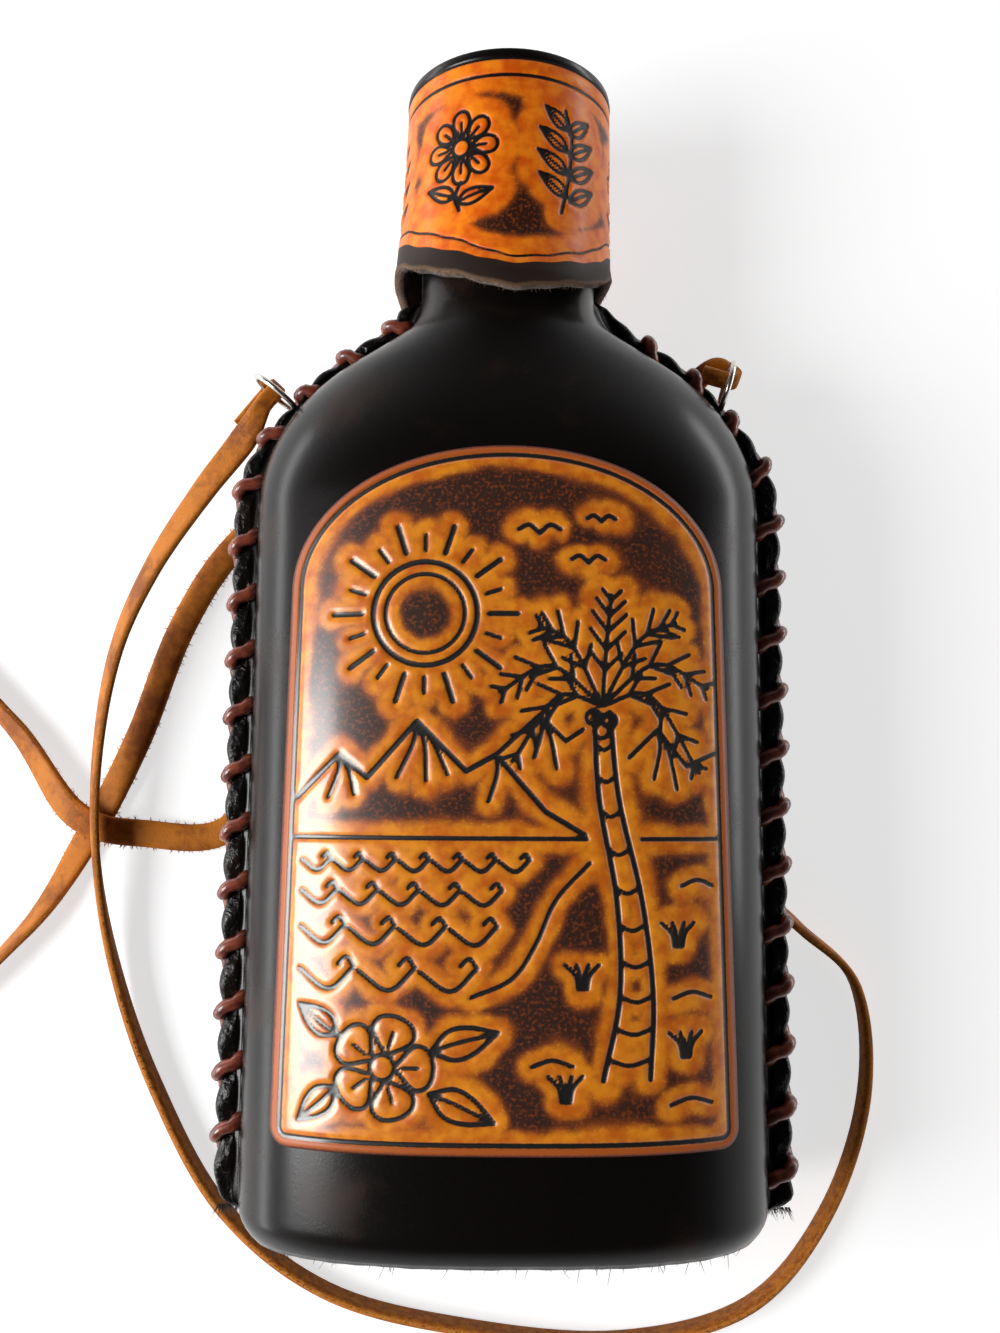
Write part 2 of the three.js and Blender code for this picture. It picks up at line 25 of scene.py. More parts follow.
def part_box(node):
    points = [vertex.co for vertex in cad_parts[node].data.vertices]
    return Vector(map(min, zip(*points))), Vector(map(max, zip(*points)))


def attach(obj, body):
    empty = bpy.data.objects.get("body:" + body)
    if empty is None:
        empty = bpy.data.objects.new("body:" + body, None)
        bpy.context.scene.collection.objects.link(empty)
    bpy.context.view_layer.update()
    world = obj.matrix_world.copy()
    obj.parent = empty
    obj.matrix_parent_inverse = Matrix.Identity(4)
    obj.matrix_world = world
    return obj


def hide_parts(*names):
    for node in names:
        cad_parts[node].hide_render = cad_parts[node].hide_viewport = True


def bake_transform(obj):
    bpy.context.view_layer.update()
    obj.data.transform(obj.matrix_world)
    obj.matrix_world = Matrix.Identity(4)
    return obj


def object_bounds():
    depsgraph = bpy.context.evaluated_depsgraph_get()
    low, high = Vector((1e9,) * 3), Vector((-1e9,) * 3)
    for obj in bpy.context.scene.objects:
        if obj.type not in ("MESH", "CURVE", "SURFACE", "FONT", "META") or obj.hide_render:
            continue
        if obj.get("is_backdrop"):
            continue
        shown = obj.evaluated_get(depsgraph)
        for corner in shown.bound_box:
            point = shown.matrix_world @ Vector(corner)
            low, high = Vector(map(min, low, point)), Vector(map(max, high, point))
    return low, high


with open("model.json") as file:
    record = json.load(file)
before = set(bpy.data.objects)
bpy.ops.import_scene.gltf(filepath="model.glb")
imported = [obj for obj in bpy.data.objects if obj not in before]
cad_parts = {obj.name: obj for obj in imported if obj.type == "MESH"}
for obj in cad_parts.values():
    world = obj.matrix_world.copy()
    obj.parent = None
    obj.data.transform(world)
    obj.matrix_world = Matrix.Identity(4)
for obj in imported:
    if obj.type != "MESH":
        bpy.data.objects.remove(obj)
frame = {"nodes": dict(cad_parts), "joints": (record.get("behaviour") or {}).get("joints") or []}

MM = 0.001
TURN = 2 * math.pi
CAD_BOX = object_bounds()
PHOTO_HEIGHT = 1333

Colour = tuple[float, float, float]
Point = tuple[float, float]
log = logging.getLogger("flask")


class Value:
    """A number that varies over a surface; operators on it add Math nodes."""

    def __init__(self, nodes: "Nodes", socket: bpy.types.NodeSocket) -> None:
        """Wraps one output socket of a tree."""
        self.nodes = nodes
        self.socket = socket

    def _math(self, operation: str, first: "Value | float", second: "Value | float") -> "Value":
        """Adds one Math node on two terms."""
        node = self.nodes.node("ShaderNodeMath", {"operation": operation}, {0: first, 1: second})
        return Value(self.nodes, node.outputs[0])

    def __add__(self, other: "Value | float") -> "Value":
        """Sum."""
        return self._math("ADD", self, other)

    __radd__ = __add__

    def __sub__(self, other: "Value | float") -> "Value":
        """Difference."""
        return self._math("SUBTRACT", self, other)

    def __rsub__(self, other: "Value | float") -> "Value":
        """Difference from a number."""
        return self._math("SUBTRACT", other, self)

    def __mul__(self, other: "Value | float") -> "Value":
        """Product."""
        return self._math("MULTIPLY", self, other)

    __rmul__ = __mul__

    def over(self, low: float, high: float) -> "Value":
        """Smooth step from 0 at low to 1 at high.

        Args:
            low: Value at which the step begins.
            high: Value at which it ends.

        Returns:
            The step, from 0 to 1.
        """
        settings = {"interpolation_type": "SMOOTHSTEP"}
        node = self.nodes.node("ShaderNodeMapRange", settings, {0: self, 1: low, 2: high})
        return Value(self.nodes, node.outputs[0])


class Nodes:
    """An empty node tree and the means to fill it."""

    def __init__(self, holder: bpy.types.Material | bpy.types.World) -> None:
        """Empties a tree.

        Args:
            holder: Material or world that the tree belongs to.
        """
        holder.use_nodes = True
        self.tree = holder.node_tree
        self.tree.nodes.clear()

    def node(
        self,
        kind: str,
        settings: dict[str, Any] | None = None,
        inputs: dict[str | int, Any] | None = None,
    ) -> bpy.types.Node:
        """Adds a node.

        Args:
            kind: Blender's name of the node's type.
            settings: Properties of the node, which are set first.
            inputs: Numbers, colours, values or sockets for its sockets, by name or place.

        Returns:
            The node.
        """
        made = self.tree.nodes.new(kind)
        for name, value in (settings or {}).items():
            setattr(made, name, value)
        for key, value in (inputs or {}).items():
            source = value.socket if isinstance(value, Value) else value
            if isinstance(source, bpy.types.NodeSocket):
                self.tree.links.new(source, made.inputs[key])
            else:
                made.inputs[key].default_value = source
        return made


class Paint(Nodes):
    """A material and the means to write its node tree as expressions."""

    def __init__(self, name: str) -> None:
        """Starts an empty material with an output node.

        Args:
            name: Name of the material.
        """
        self.material = bpy.data.materials.new(name)
        super().__init__(self.material)
        self.output = self.node("ShaderNodeOutputMaterial")
        self.place = self.node("ShaderNodeTexCoord").outputs["Object"]

    def noise(self, size: float, detail: float = 2.0, distortion: float = 0.0) -> Value:
        """Cloudy noise whose patches are about as large as size, in metres."""
        inputs = {"Vector": self.place, "Scale": 1 / size, "Detail": detail, "Distortion": distortion}
        return Value(self, self.node("ShaderNodeTexNoise", None, inputs).outputs[0])

    def cells(self, size: float) -> Value:
        """Distance to the nearest of scattered points about size apart, in cell sizes."""
        inputs = {"Vector": self.place, "Scale": 1 / size}
        return Value(self, self.node("ShaderNodeTexVoronoi", None, inputs).outputs[0])

    def attribute(self, name: str) -> Value:
        """A number that the mesh itself carries at each point."""
        node = self.node("ShaderNodeAttribute", {"attribute_name": name})
        return Value(self, node.outputs["Fac"])

    def mix(self, share: Value, first: Any, second: Any) -> bpy.types.NodeSocket:
        """Colour between two colours.

        Args:
            share: 0 for the first colour and 1 for the second.
            first: Colour or colour socket.
            second: Colour or colour socket.

        Returns:
            The socket of the mixed colour.
        """
        ends = [(*c, 1.0) if isinstance(c, tuple) else c for c in (first, second)]
        node = self.node("ShaderNodeMix", {"data_type": "RGBA"}, {0: share, 6: ends[0], 7: ends[1]})
        return node.outputs[2]

    def bump(
        self, height: Value, relief: float, below: bpy.types.NodeSocket | None = None
    ) -> bpy.types.NodeSocket:
        """Normal of a surface with a relief.

        Args:
            height: Height from 0 to 1.
            relief: Metres between height 0 and 1.
            below: Normal of a coarser relief that this one lies on.

        Returns:
            The socket of the normal.
        """
        inputs = {"Height": height, "Distance": relief, "Strength": 1.0}
        if below is not None:
            inputs["Normal"] = below
        return self.node("ShaderNodeBump", None, inputs).outputs[0]

    def surface(self, colour: Any, roughness: Any, normal: Any, **others: Any) -> None:
        """Joins a Principled surface to the output.

        Args:
            colour: Base colour or its socket.
            roughness: Number or value.
            normal: Socket of the normal.
            others: Inputs of other sockets, with underscores for spaces in their names.
        """
        base = (*colour, 1.0) if isinstance(colour, tuple) else colour
        inputs = {"Base Color": base, "Roughness": roughness, "Normal": normal}
        inputs.update({name.replace("_", " "): value for name, value in others.items()})
        shader = self.node("ShaderNodeBsdfPrincipled", None, inputs)
        self.tree.links.new(shader.outputs[0], self.output.inputs[0])


@dataclass(frozen=True)
class Finish:
    """A finish that a piece is dressed in."""

    name: str

    @cache
    def material(self) -> bpy.types.Material:
        """Makes the finish's material at its first use.

        Returns:
            The material.
        """
        paint = Paint(self.name)
        self.lay(paint)
        return paint.material

    def lay(self, paint: Paint) -> None:
        """Writes the finish's node tree.

        Args:
            paint: Material to write on.
        """
        raise NotImplementedError


@dataclass(frozen=True)
class BlackLeather(Finish):
    """Black-dyed leather with fine pores, brown where the dye is thin, and a waxed sheen.

    Reads flange, which the mesh carries: 1 where the leather is creased by the lacing.
    """

    black: Colour = (0.0034, 0.0027, 0.0025)
    brown: Colour = (0.021, 0.0085, 0.0042)
    patch: float = 18 * MM
    pore: float = 0.45 * MM
    relief: float = 0.008 * MM
    crease: float = 1.5 * MM
    crease_relief: float = 0.32 * MM
    sheen_roughness: float = 0.2

    def lay(self, paint: Paint) -> None:
        """Writes patches of thin dye, a grain of pores and the creases.

        Args:
            paint: Material to write on.
        """
        thin = paint.noise(self.patch, 5.0).over(0.52, 0.76)
        pores = paint.cells(self.pore)
        grain = paint.noise(self.pore, 3.0)
        colour = paint.mix(thin * 0.8 + grain * 0.08, self.black, self.brown)
        roughness = self.sheen_roughness + grain * 0.1 + thin * 0.1
        height = grain * 0.7 + pores * 0.5
        creased = paint.noise(self.crease, 4.0, 0.8) * paint.attribute("flange")
        normal = paint.bump(height, self.relief, paint.bump(creased, self.crease_relief))
        paint.surface(colour, roughness, normal, Specular_IOR_Level=0.3)


@dataclass(frozen=True)
class TooledLeather(Finish):
    """Amber leather with black tooled lines, burnt shading away from them, and lacquer.

    Reads two distances in millimetres that the mesh carries: stroke, from the edge of the
    nearest tooled line, negative inside it, and edge, from the cut or moulded border.
    """

    light: Colour = (0.90, 0.300, 0.012)
    deep: Colour = (0.62, 0.130, 0.005)
    russet: Colour = (0.250, 0.052, 0.0080)
    burnt: Colour = (0.034, 0.0100, 0.0046)
    line: Colour = (0.0045, 0.0030, 0.0026)
    border: Colour = (0.46, 0.095, 0.006)
    border_end: Colour = (0.10, 0.016, 0.005)
    border_width: float = 1.45
    burning: float = 1.0
    halo: tuple[float, float] = (0.1, 4.4)
    lacquer: float = 0.9
    border_lacquer: float = 0.1
    specular: float = 0.5

    def lay(self, paint: Paint) -> None:
        """Writes the shading from the distances, then the border and the lines over it.

        Args:
            paint: Material to write on.
        """
        stroke = paint.attribute("stroke")
        edge = paint.attribute("edge")
        drift = paint.noise(7 * MM, 3.0)
        blotch = paint.noise(14 * MM, 3.0, 0.6)
        stipple = paint.noise(0.55 * MM, 3.0)
        flow = paint.noise(2.6 * MM, 4.0)
        away = (stroke + drift * 3.0 - 1.5).over(*self.halo)
        shade = away * (0.68 + blotch.over(0.38, 0.6) * 0.32) * self.burning
        burn = (shade * 1.55 + stipple * 0.9 - 0.45).over(0.0, 1.2) * shade.over(0.0, 0.2)
        burn = burn * (1.0 - stipple.over(0.44, 0.68) * 0.42)
        amber = paint.mix(flow.over(0.3, 0.72), self.light, self.deep)
        colour = paint.mix(burn.over(0.0, 0.62), amber, self.russet)
        colour = paint.mix(burn.over(0.38, 1.0), colour, self.burnt)
        border = 1.0 - edge.over(self.border_width - 0.1, self.border_width + 0.1)
        rim = paint.mix((edge + stipple * 0.5 - 0.25).over(0.25, 0.8), self.border_end, self.border)
        colour = paint.mix(border, colour, rim)
        line = 1.0 - (stroke + stipple * 0.16 - 0.08).over(-0.08, 0.1)
        colour = paint.mix(line, colour, self.line)
        roughness = 0.3 + burn * 0.1 + (line + border) * 0.15 + stipple * 0.1
        groove = paint.bump(stroke.over(-0.2, 0.25), 0.12 * MM)
        normal = paint.bump(stipple * 0.6 + flow * 0.4, 0.03 * MM, groove)
        coat = self.lacquer + border * (self.border_lacquer - self.lacquer)
        paint.surface(
            colour,
            roughness,
            normal,
            Coat_Weight=coat,
            Coat_Roughness=0.2,
            Specular_IOR_Level=self.specular,
        )


@dataclass(frozen=True)
class LaceLeather(Finish):
    """Round red-brown lace with a polished skin."""

    # pale is the lace's colour as lit and dark its colour in shade: painted light and shade
    pale: Colour = (0.25, 0.050, 0.022)
    dark: Colour = (0.105, 0.019, 0.010)

    def lay(self, paint: Paint) -> None:
        """Writes streaks of painted light and shade and a faint grain.

        Args:
            paint: Material to write on.
        """
        streak = paint.noise(1.6 * MM, 3.0)
        grain = paint.noise(0.3 * MM, 2.0)
        # painted light and shade: streak noise mixes the lit and the shaded lace colour
        colour = paint.mix(streak.over(0.35, 0.65), self.dark, self.pale)
        normal = paint.bump(grain * 0.5 + streak * 0.5, 0.05 * MM)
        paint.surface(colour, 0.26 + grain * 0.14, normal, Coat_Weight=0.5, Coat_Roughness=0.15)


@dataclass(frozen=True)
class StrapLeather(Finish):
    """Cognac strap leather: a smooth side, a suede side and rough-cut edges.

    Reads side, which the mesh carries: 1 on the smooth side, -1 on the suede, 0 on the cuts.
    """

    smooth: Colour = (0.58, 0.180, 0.012)
    # painted shade: the strap's colour as seen in shadow, mottled over the smooth and suede sides
    shaded: Colour = (0.27, 0.068, 0.006)
    suede: Colour = (0.52, 0.165, 0.012)
    cut: Colour = (0.62, 0.250, 0.055)

    def lay(self, paint: Paint) -> None:
        """Writes the three sides and their naps, with painted shade mottled over the smooth and suede
        sides.

        Args:
            paint: Material to write on.
        """
        side = paint.attribute("side")
        cloud = paint.noise(7 * MM, 4.0)
        fibre = paint.noise(0.35 * MM, 3.0)
        speck = paint.noise(1.3 * MM, 5.0)
        # painted shade: cloud noise mixes the shaded copy into the smooth side
        top = paint.mix((cloud * 0.7 + speck * 0.3).over(0.4, 0.66), self.smooth, self.shaded)
        # suede nap speckle, its dark parts in the painted shade colour
        nap = paint.mix((speck * 0.6 + fibre * 0.4).over(0.36, 0.64), self.suede, self.shaded)
        raw = paint.mix(fibre.over(0.35, 0.6), self.cut, self.suede)
        colour = paint.mix(side.over(0.2, 0.6), raw, top)
        colour = paint.mix((side * -1.0).over(0.2, 0.6), colour, nap)
        roughness = 0.72 - side.over(0.0, 0.6) * 0.24 + fibre * 0.12
        normal = paint.bump(fibre * 0.6 + speck * 0.4, 0.14 * MM)
        paint.surface(colour, roughness, normal, Sheen_Weight=0.04, Specular_IOR_Level=0.25)


@dataclass(frozen=True)
class Suede(Finish):
    """Flesh side and cut edges of leather, with a loose nap."""

    pale: Colour = (0.20, 0.112, 0.060)
    dark: Colour = (0.060, 0.030, 0.016)

    def lay(self, paint: Paint) -> None:
        """Writes the nap.

        Args:
            paint: Material to write on.
        """
        fibre = paint.noise(0.3 * MM, 4.0)
        cloud = paint.noise(3 * MM, 3.0)
        colour = paint.mix((fibre * 0.6 + cloud * 0.4).over(0.35, 0.65), self.dark, self.pale)
        normal = paint.bump(fibre, 0.14 * MM)
        paint.surface(colour, 0.85 + fibre * 0.1, normal, Sheen_Weight=0.2)


@dataclass(frozen=True)
class Nickel(Finish):
    """Nickel-plated wire, a little dulled and scratched."""

    bright: Colour = (0.76, 0.74, 0.69)
    dull: Colour = (0.46, 0.43, 0.38)

    def lay(self, paint: Paint) -> None:
        """Writes the dulled patches and fine scratches.

        Args:
            paint: Material to write on.
        """
        patch = paint.noise(2.2 * MM, 3.0)
        scratch = paint.noise(0.18 * MM, 2.0)
        colour = paint.mix(patch.over(0.45, 0.75), self.bright, self.dull)
        normal = paint.bump(scratch, 0.008 * MM)
        paint.surface(colour, 0.16 + patch * 0.2, normal, Metallic=1.0)


@dataclass(frozen=True)
class ClearGlass(Finish):
    """Clear pressed glass with a faint waviness."""

    tint: Colour = (0.93, 0.97, 0.95)

    def lay(self, paint: Paint) -> None:
        """Writes the waviness.

        Args:
            paint: Material to write on.
        """
        wave = paint.noise(9 * MM, 2.0)
        normal = paint.bump(wave, 0.08 * MM)
        paint.surface(self.tint, 0.02 + wave * 0.03, normal, Transmission_Weight=1.0, IOR=1.52)


@dataclass(frozen=True)
class Moulding(Finish):
    """Moulded plastic or foam with a fine surface."""

    colour: Colour = (0.02, 0.02, 0.022)
    speck: Colour = (0.04, 0.04, 0.042)
    roughness: float = 0.4
    grain: float = 0.4 * MM

    def lay(self, paint: Paint) -> None:
        """Writes the fine texture.

        Args:
            paint: Material to write on.
        """
        texture = paint.noise(self.grain, 2.0)
        colour = paint.mix(texture.over(0.4, 0.7), self.colour, self.speck)
        normal = paint.bump(texture, 0.02 * MM)
        paint.surface(colour, self.roughness + texture * 0.1, normal)


BLACK = BlackLeather("black_hide")
BLACK_SUEDE = Suede("black_suede", pale=(0.022, 0.016, 0.013), dark=(0.005, 0.004, 0.004))
RAW_SUEDE = Suede("raw_suede")
PANEL_AMBER = TooledLeather("panel_amber")
SLEEVE_AMBER = TooledLeather(
    "sleeve_amber",
    light=(0.97, 0.250, 0.008),
    deep=(0.72, 0.100, 0.003),
    border=(0.020, 0.011, 0.007),
    border_end=(0.11, 0.060, 0.032),
    border_width=4.0,
    burning=0.8,
    halo=(1.8, 5.0),
    lacquer=0.1,
    border_lacquer=0.0,
    specular=0.2,
)
LACE = LaceLeather("lace_hide")
STRAP = StrapLeather("strap_hide")
NICKEL = Nickel("nickel_plate")
GLASS = ClearGlass("clear_glass")
CAP_PLASTIC = Moulding("cap_moulding")
FOAM = Moulding("liner_foam", (0.80, 0.77, 0.70), (0.62, 0.59, 0.52), 0.75, 0.3 * MM)


def sheet(points: np.ndarray) -> bmesh.types.BMesh:
    """Grid of faces laid over a table of points.

    Args:
        points: Rows by columns by three coordinates.

    Returns:
        The grid; its vertices follow the table row by row.
    """
    rows, columns = points.shape[:2]
    bm = bmesh.new()
    bmesh.ops.create_grid(bm, x_segments=columns - 1, y_segments=rows - 1, size=0.5)
    for vert, point in zip(bm.verts, points.reshape(-1, 3)):
        vert.co = point
    return bm


def carry(bm: bmesh.types.BMesh, name: str, values: np.ndarray) -> None:
    """Gives every vertex a number that a finish reads by name.

    Args:
        bm: The mesh.
        name: Name of the numbers.
        values: One number for each vertex, in their order.
    """
    layer = bm.verts.layers.float.new(name)
    for vert, value in zip(bm.verts, values.ravel()):
        vert[layer] = float(value)


def close(bm: bmesh.types.BMesh) -> None:
    """Welds a rolled-up sheet's seam, closes its ends with sharp edges and turns its faces out.

    Args:
        bm: The sheet.
    """
    bmesh.ops.remove_doubles(bm, verts=bm.verts, dist=1e-6)
    for end in bmesh.ops.holes_fill(bm, edges=bm.edges, sides=0)["faces"]:
        for edge in end.edges:
            edge.smooth = False
    bmesh.ops.recalc_face_normals(bm, faces=bm.faces)


def tube(centres: np.ndarray, first: np.ndarray, outline: np.ndarray) -> bmesh.types.BMesh:
    """Closed section carried along a line.

    Args:
        centres: Points of the line.
        first: Way that the section's first axis leans towards, at each point.
        outline: Section's corners as two coordinates each, the same or one set for each point.

    Returns:
        An open-ended rolled-up sheet, to be closed.
    """
    tangent = np.gradient(centres, axis=0)
    tangent /= np.linalg.norm(tangent, axis=1, keepdims=True)
    across = first - tangent * (first * tangent).sum(1, keepdims=True)
    across /= np.linalg.norm(across, axis=1, keepdims=True)
    up = np.cross(tangent, across)
    ring = np.concatenate([outline, outline[..., :1, :]], axis=-2)
    return sheet(centres[:, None] + across[:, None] * ring[..., :1] + up[:, None] * ring[..., 1:])


def turned(profile: Sequence[tuple[float, float]], middle: Vector, steps: int) -> bmesh.types.BMesh:
    """Body of revolution about the flask's axis.

    Args:
        profile: Radius and height of each corner, from axis to axis.
        middle: Point of the axis at height 0.
        steps: Facets round the body.

    Returns:
        The closed body.
    """
    bm = bmesh.new()
    verts = [bm.verts.new((radius, y, 0.0)) for radius, y in profile]
    edges = [bm.edges.new(pair) for pair in zip(verts, verts[1:])]
    bmesh.ops.spin(
        bm,
        geom=verts + edges,
        cent=(0, 0, 0),
        axis=(0, 1, 0),
        angle=TURN,
        steps=steps,
        use_merge=True,
    )
    bmesh.ops.translate(bm, verts=bm.verts, vec=middle)
    close(bm)
    return bm


def through(points: Sequence[Sequence[float]], steps: int) -> np.ndarray:
    """Smooth uniform Catmull-Rom line through points, straight on at its ends.

    Args:
        points: Points of any dimension.
        steps: Steps from each point to the next.

    Returns:
        The line's points.
    """
    given = np.array(points, float)
    padded = np.vstack([2 * given[0] - given[1], given, 2 * given[-1] - given[-2]])
    share = np.linspace(0, 1, steps, endpoint=False)[:, None]
    line = []
    for p0, p1, p2, p3 in zip(padded, padded[1:], padded[2:], padded[3:]):
        leave, arrive = (p2 - p0) / 2, (p3 - p1) / 2
        square = 3 * (p2 - p1) - 2 * leave - arrive
        cube = 2 * (p1 - p2) + leave + arrive
        line.append(p1 + leave * share + square * share**2 + cube * share**3)
    return np.vstack([*line, given[-1:]])


def smooth(values: np.ndarray, low: float, high: float) -> np.ndarray:
    """Smooth step from 0 at low to 1 at high."""
    share = np.clip((values - low) / (high - low), 0, 1)
    return share * share * (3 - 2 * share)


def cut_depth(stroke: np.ndarray) -> np.ndarray:
    """Share of a tooled groove's depth, by the distance from its edge in millimetres."""
    return 1 - smooth(stroke, -0.15, 0.42)


def fibre(bm: bmesh.types.BMesh, root: Vector, way: Vector, thickness: float = 0.07 * MM) -> None:
    """Adds one tapered fibre to a bmesh.

    Args:
        bm: Mesh that it is added to.
        root: Where it grows from.
        way: From its root to its tip.
        thickness: Radius at the root.
    """
    turn = way.to_track_quat("Z", "Y").to_matrix().to_4x4()
    bmesh.ops.create_cone(
        bm,
        cap_ends=True,
        segments=3,
        radius1=thickness,
        radius2=thickness * 0.3,
        depth=way.length,
        matrix=Matrix.Translation(root + way / 2) @ turn,
    )


def make_piece(
    bm: bmesh.types.BMesh,
    name: str,
    body: str | None,
    finishes: Sequence[Finish],
    replaces: Sequence[str] = (),
) -> bpy.types.Object:
    """Makes an object of a bmesh and puts it on a body.

    Args:
        bm: Finished mesh, which is freed.
        name: Name of the piece.
        body: Body that it rides on, or None to leave it on none.
        finishes: Finishes for its material places.
        replaces: Nodes that it stands for.

    Returns:
        The piece.
    """
    mesh = bpy.data.meshes.new(name)
    for face in bm.faces:
        face.smooth = True
    bm.to_mesh(mesh)
    bm.free()
    made = bpy.data.objects.new(name, mesh)
    bpy.context.scene.collection.objects.link(made)
    for finish in finishes:
        mesh.materials.append(finish.material())
    if replaces:
        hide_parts(*replaces)
    if body is not None:
        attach(made, body)
    log.info("%s: %d faces", name, len(mesh.polygons))
    return made


def thicken(piece: bpy.types.Object, thickness: float) -> None:
    """Gives a sheet its thickness, with its second finish inside and its third on the rim.

    Args:
        piece: The sheet.
        thickness: Thickness behind its face.
    """
    wall = piece.modifiers.new("thickness", "SOLIDIFY")
    wall.thickness = thickness
    wall.offset = -1
    wall.material_offset = 1
    wall.material_offset_rim = 2


def dress_node(node: str, finish: Finish) -> None:
    """Gives a solid that stays its finish.

    Args:
        node: Name of the solid's node.
        finish: Its finish.
    """
    mesh = frame["nodes"][node].data
    mesh.materials.clear()
    mesh.materials.append(finish.material())
    log.info("%s: %s", node, finish.name)


@dataclass(frozen=True)
class FlaskForm:
    """Outside form of the glass: y from its foot, x from its middle and z from the seam.

    The front outline is a straight side, a shoulder arc, a slope, a neck fillet and the neck.
    """

    width: float
    depth: float
    foot: Vector
    fullness: float = 2.7
    shoulder_radius: float = 28 * MM
    slope: float = math.radians(58)
    fillet_radius: float = 12.3 * MM
    neck_radius: float = 12.8 * MM
    neck_start: float = 152.4 * MM

    @classmethod
    def from_frame(cls) -> "FlaskForm":
        """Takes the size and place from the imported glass.

        Returns:
            The form.
        """
        low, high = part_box("glass_bottle")
        middle = (low + high) / 2
        return cls(high.x - low.x, high.z - low.z, Vector((middle.x, low.y, middle.z)))

    @property
    def shoulder_start(self) -> float:
        """Where the straight side ends."""
        bend = self.shoulder_radius + self.fillet_radius
        fall = self.width / 2 - self.neck_radius - bend * (1 - math.cos(self.slope))
        return self.neck_start - fall / math.tan(self.slope) - bend * math.sin(self.slope)

    def half_width(self, y: np.ndarray, offset: float) -> np.ndarray:
        """Half the front width.

        Args:
            y: Places along the flask.
            offset: Distance outside the glass.

        Returns:
            The half widths there.
        """
        outer = self.shoulder_radius + offset
        inner = self.fillet_radius - offset
        arc_end = self.shoulder_start + outer * math.sin(self.slope)
        fillet_start = self.neck_start - inner * math.sin(self.slope)
        arc_middle = self.width / 2 - self.shoulder_radius
        climb = np.clip(y - self.shoulder_start, 0, outer)
        arc = arc_middle + np.sqrt(outer**2 - climb**2)
        line = arc_middle + outer * math.cos(self.slope) - (y - arc_end) * math.tan(self.slope)
        left = np.clip(self.neck_start - y, 0, inner)
        fillet = self.neck_radius + self.fillet_radius - np.sqrt(inner**2 - left**2)
        return np.select([y <= arc_end, y <= fillet_start], [arc, line], fillet)

    def neck_share(self, y: np.ndarray) -> np.ndarray:
        """Share of the way from the body's section to the round neck."""
        return smooth(y, self.shoulder_start, self.neck_start)

    def half_depth(self, y: np.ndarray) -> np.ndarray:
        """Half the depth of the glass."""
        return self.depth / 2 + (self.neck_radius - self.depth / 2) * self.neck_share(y)

    def power(self, y: np.ndarray) -> np.ndarray:
        """Exponent of the section's superellipse."""
        return self.fullness + (2 - self.fullness) * self.neck_share(y)

    def height(self, x: np.ndarray, y: np.ndarray, offset: np.ndarray) -> np.ndarray:
        """Height of the front over the seam.

        Args:
            x: Places across the flask.
            y: Places along it.
            offset: Distance outside the glass there.

        Returns:
            The heights.
        """
        power = self.power(y)
        share = np.clip(np.abs(x) / self.half_width(y, float(np.max(offset))), 0, 1)
        return (self.half_depth(y) + offset) * (1 - share**power) ** (1 / power)


@dataclass
class Seam:
    """Line of the lace holes on the right-hand flange, and the flange's scalloped edge.

    Distances along it run from the flange's foot; they go on below it and above its top. The
    lean is the share of a stitch that the lace gains on its way over the front.
    """

    form: FlaskForm
    cover_offset: float = 2.3 * MM
    cover_foot: float = -3.1 * MM
    cover_top: float = 158.5 * MM
    flange_foot: float = -1.0 * MM
    flange_top: float = 152.2 * MM
    flange_width: float = 4.7 * MM
    flange_neck_width: float = 3.7 * MM
    slope_trim: float = 1.8 * MM
    hole_inset: float = 1.8 * MM
    scallop: float = 0.9 * MM
    lean: float = 0.3
    spacing: float = 9.9 * MM
    end_hole: float = 4.6 * MM
    samples: int = 4000
    line: dict[str, np.ndarray] = field(init=False)
    length: float = field(init=False)
    stitches: int = field(init=False)
    pitch: float = field(init=False)

    def __post_init__(self) -> None:
        """Measures the line and divides it into stitches."""
        y = np.linspace(self.cover_foot, self.cover_top, self.samples)
        x = self.form.half_width(y, self.cover_offset + self.hole_inset)
        distance = np.concatenate([[0], np.cumsum(np.hypot(np.diff(x), np.diff(y)))])
        distance -= np.interp(self.flange_foot, y, distance)
        along_x, along_y = np.gradient(x, distance), np.gradient(y, distance)
        self.line = {"s": distance, "x": x, "y": y, "tx": along_x, "ty": along_y}
        self.length = float(np.interp(self.flange_top, y, distance))
        self.stitches = round((self.length - 2 * self.end_hole) / self.spacing)
        self.pitch = (self.length - 2 * self.end_hole) / self.stitches

    def at(self, distance: np.ndarray) -> tuple[np.ndarray, np.ndarray]:
        """Points of the hole line.

        Args:
            distance: Places along the line.

        Returns:
            The points and the ways outwards there, as x and y columns.
        """
        line = self.line
        x, y, tx, ty = (np.interp(distance, line["s"], line[k]) for k in ("x", "y", "tx", "ty"))
        return np.stack([x, y], -1), np.stack([ty, -tx], -1)

    def turns(self, distance: np.ndarray) -> np.ndarray:
        """Stitches counted from the first hole."""
        return (distance - self.end_hole) / self.pitch

    def margin(self, distance: np.ndarray, side: int) -> np.ndarray:
        """Leather outside the hole line, drawn in where the lace goes round the edge.

        Args:
            distance: Places along the seam.
            side: -1 for the left flange and 1 for the right.

        Returns:
            The widths there.
        """
        share = self.form.neck_share(self.at(distance)[0][..., 1])
        width = self.flange_width + (self.flange_neck_width - self.flange_width) * share
        width = width - self.slope_trim * np.sin(math.pi * share) ** 2
        dip = (1 + np.cos(TURN * (self.turns(distance) - side * self.lean))) / 2
        return width - self.hole_inset - self.scallop * dip


class Face(Enum):
    """The two halves of the cover."""

    FRONT = 1
    BACK = -1


